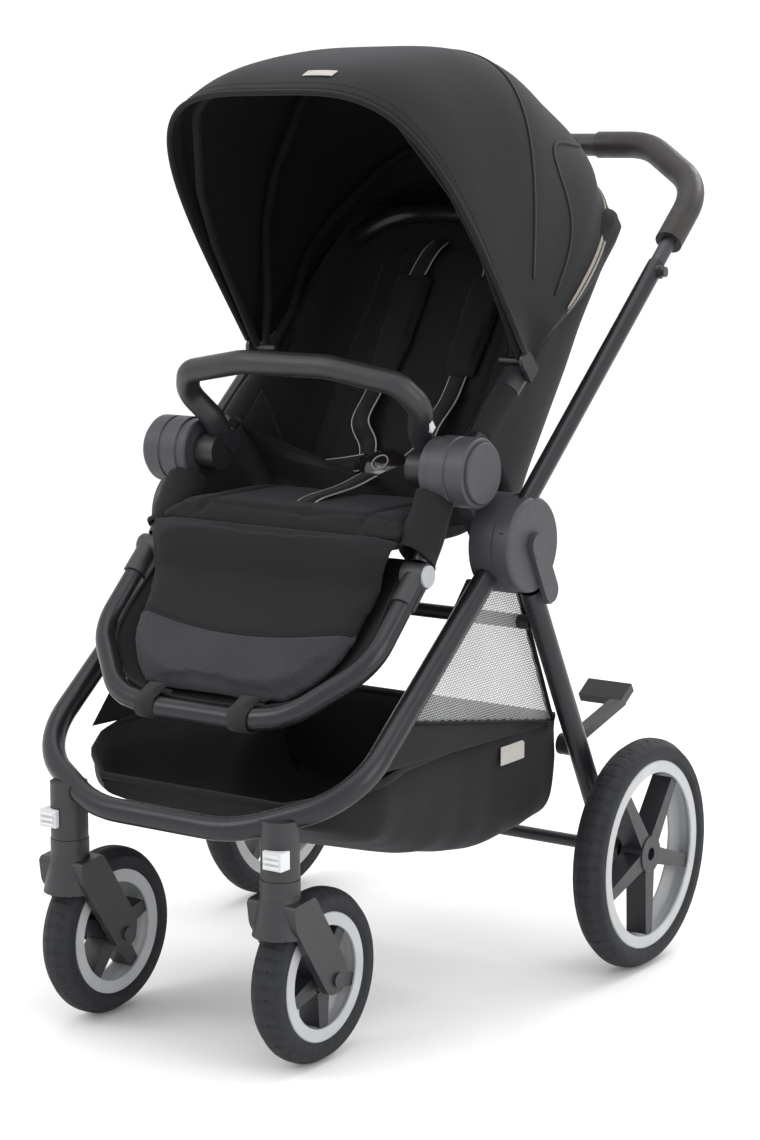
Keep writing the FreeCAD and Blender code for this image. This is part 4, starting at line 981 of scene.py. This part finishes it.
def harness():
    out = PAD.at(0, 0, 1) - PAD.at(0, 0, 0)
    buckle = Vector((0, DRUM.y + 0.138, SEAT.z + 0.036))
    for label, side in SIDES:
        x = side * 0.055
        runs = np.linspace(0.150, 0.300, 16)
        widths = [0.021 + 0.009 * min(1.0, (r - 0.150) / 0.05) - 0.002 * max(0, (r - 0.27) / 0.03) for r in runs]
        cushion = pillow(f"shoulder_pad_{label}", pad_spots(PAD, runs, 0.020), widths, 0.013, FABRIC, cols=12)
        co = vertex_data(cushion)
        co[:, 0] += x
        set_coordinates(cushion, co)
        swell(cushion, cap=0.004, voxel=0.004)
        tree = tree_of(cushion)
        rough = [PAD.at(x, r, 0.05) for r in np.linspace(0.156, 0.294, 30)]
        for shift in (-0.0205, 0.0205):
            edge = [p + Vector((shift, 0, 0)) for p in rough[4:-2]]
            line, normals = laid_on(tree, edge, -out, STITCH_LIFT)
            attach(stitches(f"shoulder_thread_{label}_{'a' if shift < 0 else 'b'}", line, normals, THREAD),
                    "backrest")
        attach(cushion, "backrest")
        if side == 1:
            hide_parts("harness")
        webbing(f"shoulder_strap_{label}", [PAD.at(x * 0.86, 0.352, 0.006), PAD.at(x * 0.88, 0.335, 0.016),
                                            PAD.at(x * 0.93, 0.315, 0.020), PAD.at(x, 0.290, 0.021)],
                "backrest", ups=out)
        side_point = Vector((side * 0.030, buckle.y + 0.010, buckle.z + 0.006))
        lower = [PAD.at(x, 0.158, 0.020), PAD.at(x * 1.02, 0.120, 0.026), PAD.at(x * 0.95, 0.080, 0.036),
                 side_point + Vector((side * 0.012, 0.018, 0.018)), side_point]
        for obj in webbing(f"lower_strap_{label}", lower, ups=out):
            PAD.at(0, 0.10, 0.02)
            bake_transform(obj)
        hip = [side_point + Vector((0, 0.002, -0.003)), Vector((side * 0.060, buckle.y + 0.002, SEAT.z + 0.033)),
               Vector((side * 0.100, buckle.y + 0.004, SEAT.z + 0.026)),
               Vector((side * 0.134, buckle.y + 0.012, SEAT.z + 0.018))]
        webbing(f"hip_strap_{label}", hip, "seat", ups=Vector((0, -0.8, 0.6)))
    crotch = [Vector((0, SEAT.y + 0.060, SEAT.z + 0.006)), Vector((0, SEAT.y + 0.085, SEAT.z + 0.014)),
              Vector((0, SEAT.y + 0.150, SEAT.z + 0.020)), buckle + Vector((0, -0.026, -0.006))]
    webbing("crotch_strap", crotch, "seat", 0.024, ups=Vector((0, -0.3, 0.95)))
    buckle_pieces(buckle)


def lens(name, centre, normal, across, half_a, half_b, height, finish, body, power=2.3, rows=9, cols=36):
    """Domed oval solid, flat underneath."""
    up = normal.normalized()
    side = across.normalized()
    other = up.cross(side)
    points = []
    for i in range(rows):
        v = i / (rows - 1)
        size = (1 - v ** power) ** (1 / power) if i < rows - 1 else 0.02
        for j in range(cols):
            a = 2 * math.pi * j / cols
            points.append(centre + side * math.cos(a) * half_a * size + other * math.sin(a) * half_b * size
                          + up * height * v)
    ring = [p - up * height * 0.45 for p in points[:cols]]
    points = ring + points
    faces = grid_faces(rows + 1, cols, wrap_cols=True)
    faces += [tuple(range(cols)), tuple(range(len(points) - cols, len(points)))]
    return new_piece(name, points, faces, finish, body)


def ring_piece(name, centre, normal, radius, tube, finish, body):
    up = Vector(normal).normalized()
    side = up.orthogonal().normalized()
    other = up.cross(side)
    line = [centre + (side * math.cos(a) + other * math.sin(a)) * radius
            for a in np.linspace(0, 2 * math.pi, 49)[:-1]]
    return sweep(name, line, circle(tube, 8), finish, body, up=lambda i: up, closed=True)


def buckle_pieces(centre):
    normal = Vector((0, -0.74, 0.67))
    across = Vector((1, 0, 0))
    body = lens("buckle_body", centre - normal * 0.003, normal, across, 0.033, 0.026, 0.012, GLOSS, "seat")
    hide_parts("crotch_buckle")
    ring_piece("buckle_ring", centre + normal * 0.0088, normal, 0.0105, 0.0008, BUTTON_GREY, "seat")
    lens("buckle_press", centre + normal * 0.0076, normal, across, 0.0092, 0.0092, 0.0020, GLOSS, "seat")
    for label, side in SIDES:
        start = centre + Vector((side * 0.020, 0.002, 0))
        end = centre + Vector((side * 0.040, 0.010, 0.004))
        sweep(f"buckle_tongue_{label}", [start, start.lerp(end, 0.5), end],
              [(a * 1.6, b * 0.5) for a, b in circle(0.0075, 12)], GLOSS, "seat", up=normal)


harness()
shoulder_spot = PAD.at(0.092, 0.262, 0.012)
blank_tag("shoulder_tag", shoulder_spot, Vector((1, 0, 0)), PAD.at(0, 1) - PAD.at(0, 0), "backrest",
          (0.016, 0.034))


# ---------------------------------------------------------------- basket
def tub_section(share):
    """Rim height, floor height and half width of the tub, from its rear edge (0) to its front (1)."""
    lo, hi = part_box("basket_tub")
    length = hi.y - lo.y
    rim = float(np.interp(share, [0, 0.4, 0.72, 1], [hi.z, hi.z + 0.006, hi.z + 0.001, hi.z - 0.028]))
    base = float(np.interp(share, [0, 0.09, 0.29, 0.56, 0.82, 1],
                           [lo.z + 0.010, lo.z + 0.001, lo.z + 0.002, lo.z + 0.026, lo.z + 0.066, lo.z + 0.098]))
    width = float(np.interp(share, [0, 0.80, 0.90, 1], [hi.x, hi.x, hi.x - 0.022, hi.x - 0.075]))
    return hi.y - share * length, rim, base, width


def basket():
    shares = [0.0, 0.004, 0.012, 0.03] + list(np.linspace(0.06, 0.97, 34)) + [0.985, 0.996, 1.0]
    cols, rows = 61, []
    for share in shares:
        y, rim, base, width = tub_section(share)
        floor_sag = 0.006 * math.sin(math.pi * share)
        row = []
        for j in range(cols):
            u = 2 * j / (cols - 1) - 1
            turn = (u + 1) * math.pi / 2
            x = -math.copysign(abs(math.cos(turn)) ** 0.34, math.cos(turn))
            drop = abs(math.sin(turn)) ** 0.34
            middle_dip = floor_sag * (1 - x * x)
            bow = 0.005 * math.sin(math.pi * drop) * math.sin(math.pi * min(1, share * 1.1))
            row.append(Vector((x * (width - 0.001) - math.copysign(bow, x), y, rim + (base - rim) * drop
                               - middle_dip * drop + 0.0015)))
        rows.append(row)
    flat = [p for row in rows for p in row]
    faces = grid_faces(len(rows), cols)
    first = len(flat)
    for row_index in (0, len(rows) - 1):
        edge = rows[row_index]
        levels = 8
        for level in range(1, levels):
            for j in range(cols):
                p = edge[j].copy()
                p.z = edge[j].z + (edge[0].z - edge[j].z) * (level / (levels - 1))
                flat.append(p)
        start = first + (0 if row_index == 0 else (levels - 1) * cols)
        base_row = row_index * cols
        for j in range(cols - 1):
            faces.append((base_row + j, base_row + j + 1, start + j + 1, start + j))
        faces += grid_faces(levels - 1, cols, start=start)
    tub = new_piece("basket_tub_cloth", flat, faces, BASKET_CLOTH)
    weld(tub, 0.0004)
    ripple(tub, 0.0030, 17, (0.6, 1.5, 0.6))
    ripple(tub, 0.0012, 45, (0.4, 1.4, 1.0))
    thicken(tub, 0.0018, -1.0)
    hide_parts("basket_tub")
    hang(tub)
    rim_line = [Vector((side * (tub_section(s)[3] + 0.0004), tub_section(s)[0], tub_section(s)[1] + 0.001))
                for side, order in ((1, shares), (-1, shares[::-1])) for s in order]
    rim = sweep("basket_rim_tape", rim_line, [(a, b * 2.2) for a, b in circle(0.0022, 10)], BASKET_CLOTH, closed=True)
    hang(rim)


def hang(obj):
    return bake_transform(obj)


GUSSET_RISE = 0.048


def side_mesh():
    """Netting between the front leg and the rear leg, with bound edges."""
    top, low, rear = (HUB.y - 0.0553, HUB.z - 0.0373), (-0.286, 0.322), (HUB.y + 0.130, 0.314)
    share = GUSSET_RISE / (top[1] - low[1])
    step = (low[0] + (top[0] - low[0]) * share, low[1] + GUSSET_RISE)
    corners = [top, step, rear, (HUB.y + 0.045, HUB.z - 0.052)]
    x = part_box("basket_sides")[1].x - 0.001
    for label, side in SIDES:
        net(f"mesh_panel_{label}", corners, side * x, side)
        gusset(f"basket_gusset_{label}", [step, low, rear], side * (x - 0.001))
        loop = [Vector((side * x, y, z)) for y, z in corners]
        line = []
        for a, b in zip(loop, loop[1:] + loop[:1]):
            line += [a.lerp(b, k / 12) for k in range(12)]
        hang(sweep(f"mesh_binding_{label}", line, [(a, b * 3.2) for a, b in circle(0.0014, 8)], BASKET_CLOTH,
                   closed=True, up=lambda i: Vector((1, 0, 0))))


def gusset(name, corners, x):
    """Solid cloth wedge between the netting and the basket's rim."""
    (ay, az), (by, bz), (cy, cz) = corners
    rows = []
    for t in np.linspace(0, 1, 9):
        start = Vector((x, ay + (by - ay) * t, az + (bz - az) * t))
        end = Vector((x, cy, cz - 0.004 * t))
        rows.append([start.lerp(end, u) for u in np.linspace(0, 1, 40)])
    piece = grid_piece(name, rows, BASKET_CLOTH)
    thicken(piece, 0.0014)
    hang(piece)


def inside(point, corners, margin):
    sign = 0
    for (ay, az), (by, bz) in zip(corners, corners[1:] + corners[:1]):
        length = math.hypot(by - ay, bz - az)
        cross = ((by - ay) * (point[1] - az) - (bz - az) * (point[0] - ay)) / length
        if abs(cross) < margin:
            return False
        if sign and (cross > 0) != (sign > 0):
            return False
        sign = 1 if cross > 0 else -1
    return True


NET_PITCH = 0.0034
NET_HOLE = 0.70
NET_BULGE = 0.004


def net(name, corners, x, side):
    """Sheet of six-sided holes in real geometry."""
    ys, zs = [c[0] for c in corners], [c[1] for c in corners]
    points, faces, index = [], [], {}
    radius = NET_PITCH / math.sqrt(3)

    def spot(y, z):
        key = (round(y, 5), round(z, 5))
        if key not in index:
            index[key] = len(points)
            points.append(Vector((x, y, z)))
        return index[key]

    for i in range(int((max(ys) - min(ys)) / NET_PITCH) + 2):
        for j in range(int((max(zs) - min(zs)) / (radius * 1.5)) + 2):
            cy = min(ys) + (i + 0.5 * (j % 2)) * NET_PITCH
            cz = min(zs) + j * radius * 1.5
            if not inside((cy, cz), corners, radius * 0.9):
                continue
            ring = [(math.cos(math.radians(60 * k + 30)) * radius, math.sin(math.radians(60 * k + 30)) * radius)
                    for k in range(6)]
            outer = [spot(cy + a, cz + b) for a, b in ring]
            inner = []
            for a, b in ring:
                inner.append(len(points))
                points.append(Vector((x, cy + a * NET_HOLE, cz + b * NET_HOLE)))
            for k in range(6):
                faces.append((outer[k], outer[(k + 1) % 6], inner[(k + 1) % 6], inner[k]))
    panel = new_piece(name, points, faces, MESH_CLOTH, smooth=False)
    bulge = vertex_data(panel)
    cy, cz = sum(ys) / len(ys), sum(zs) / len(zs)
    away = np.hypot(bulge[:, 1] - cy, bulge[:, 2] - cz)
    bulge[:, 0] -= side * NET_BULGE * np.clip(1 - away / 0.12, 0, 1)
    set_coordinates(panel, bulge)
    apply_modifier(panel, "SOLIDIFY", thickness=0.0006, offset=0.0)
    if side == 1:
        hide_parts("basket_sides")
    hang(panel)


basket()
side_mesh()
tag_spot = Vector((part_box("basket_tub")[1].x + 0.0008, HUB.y + 0.045, 0.291))
blank_tag("basket_tag", tag_spot, Vector((0, 1, 0)), Vector((0, 0, 1)), None, (0.052, 0.022), fold=hang)
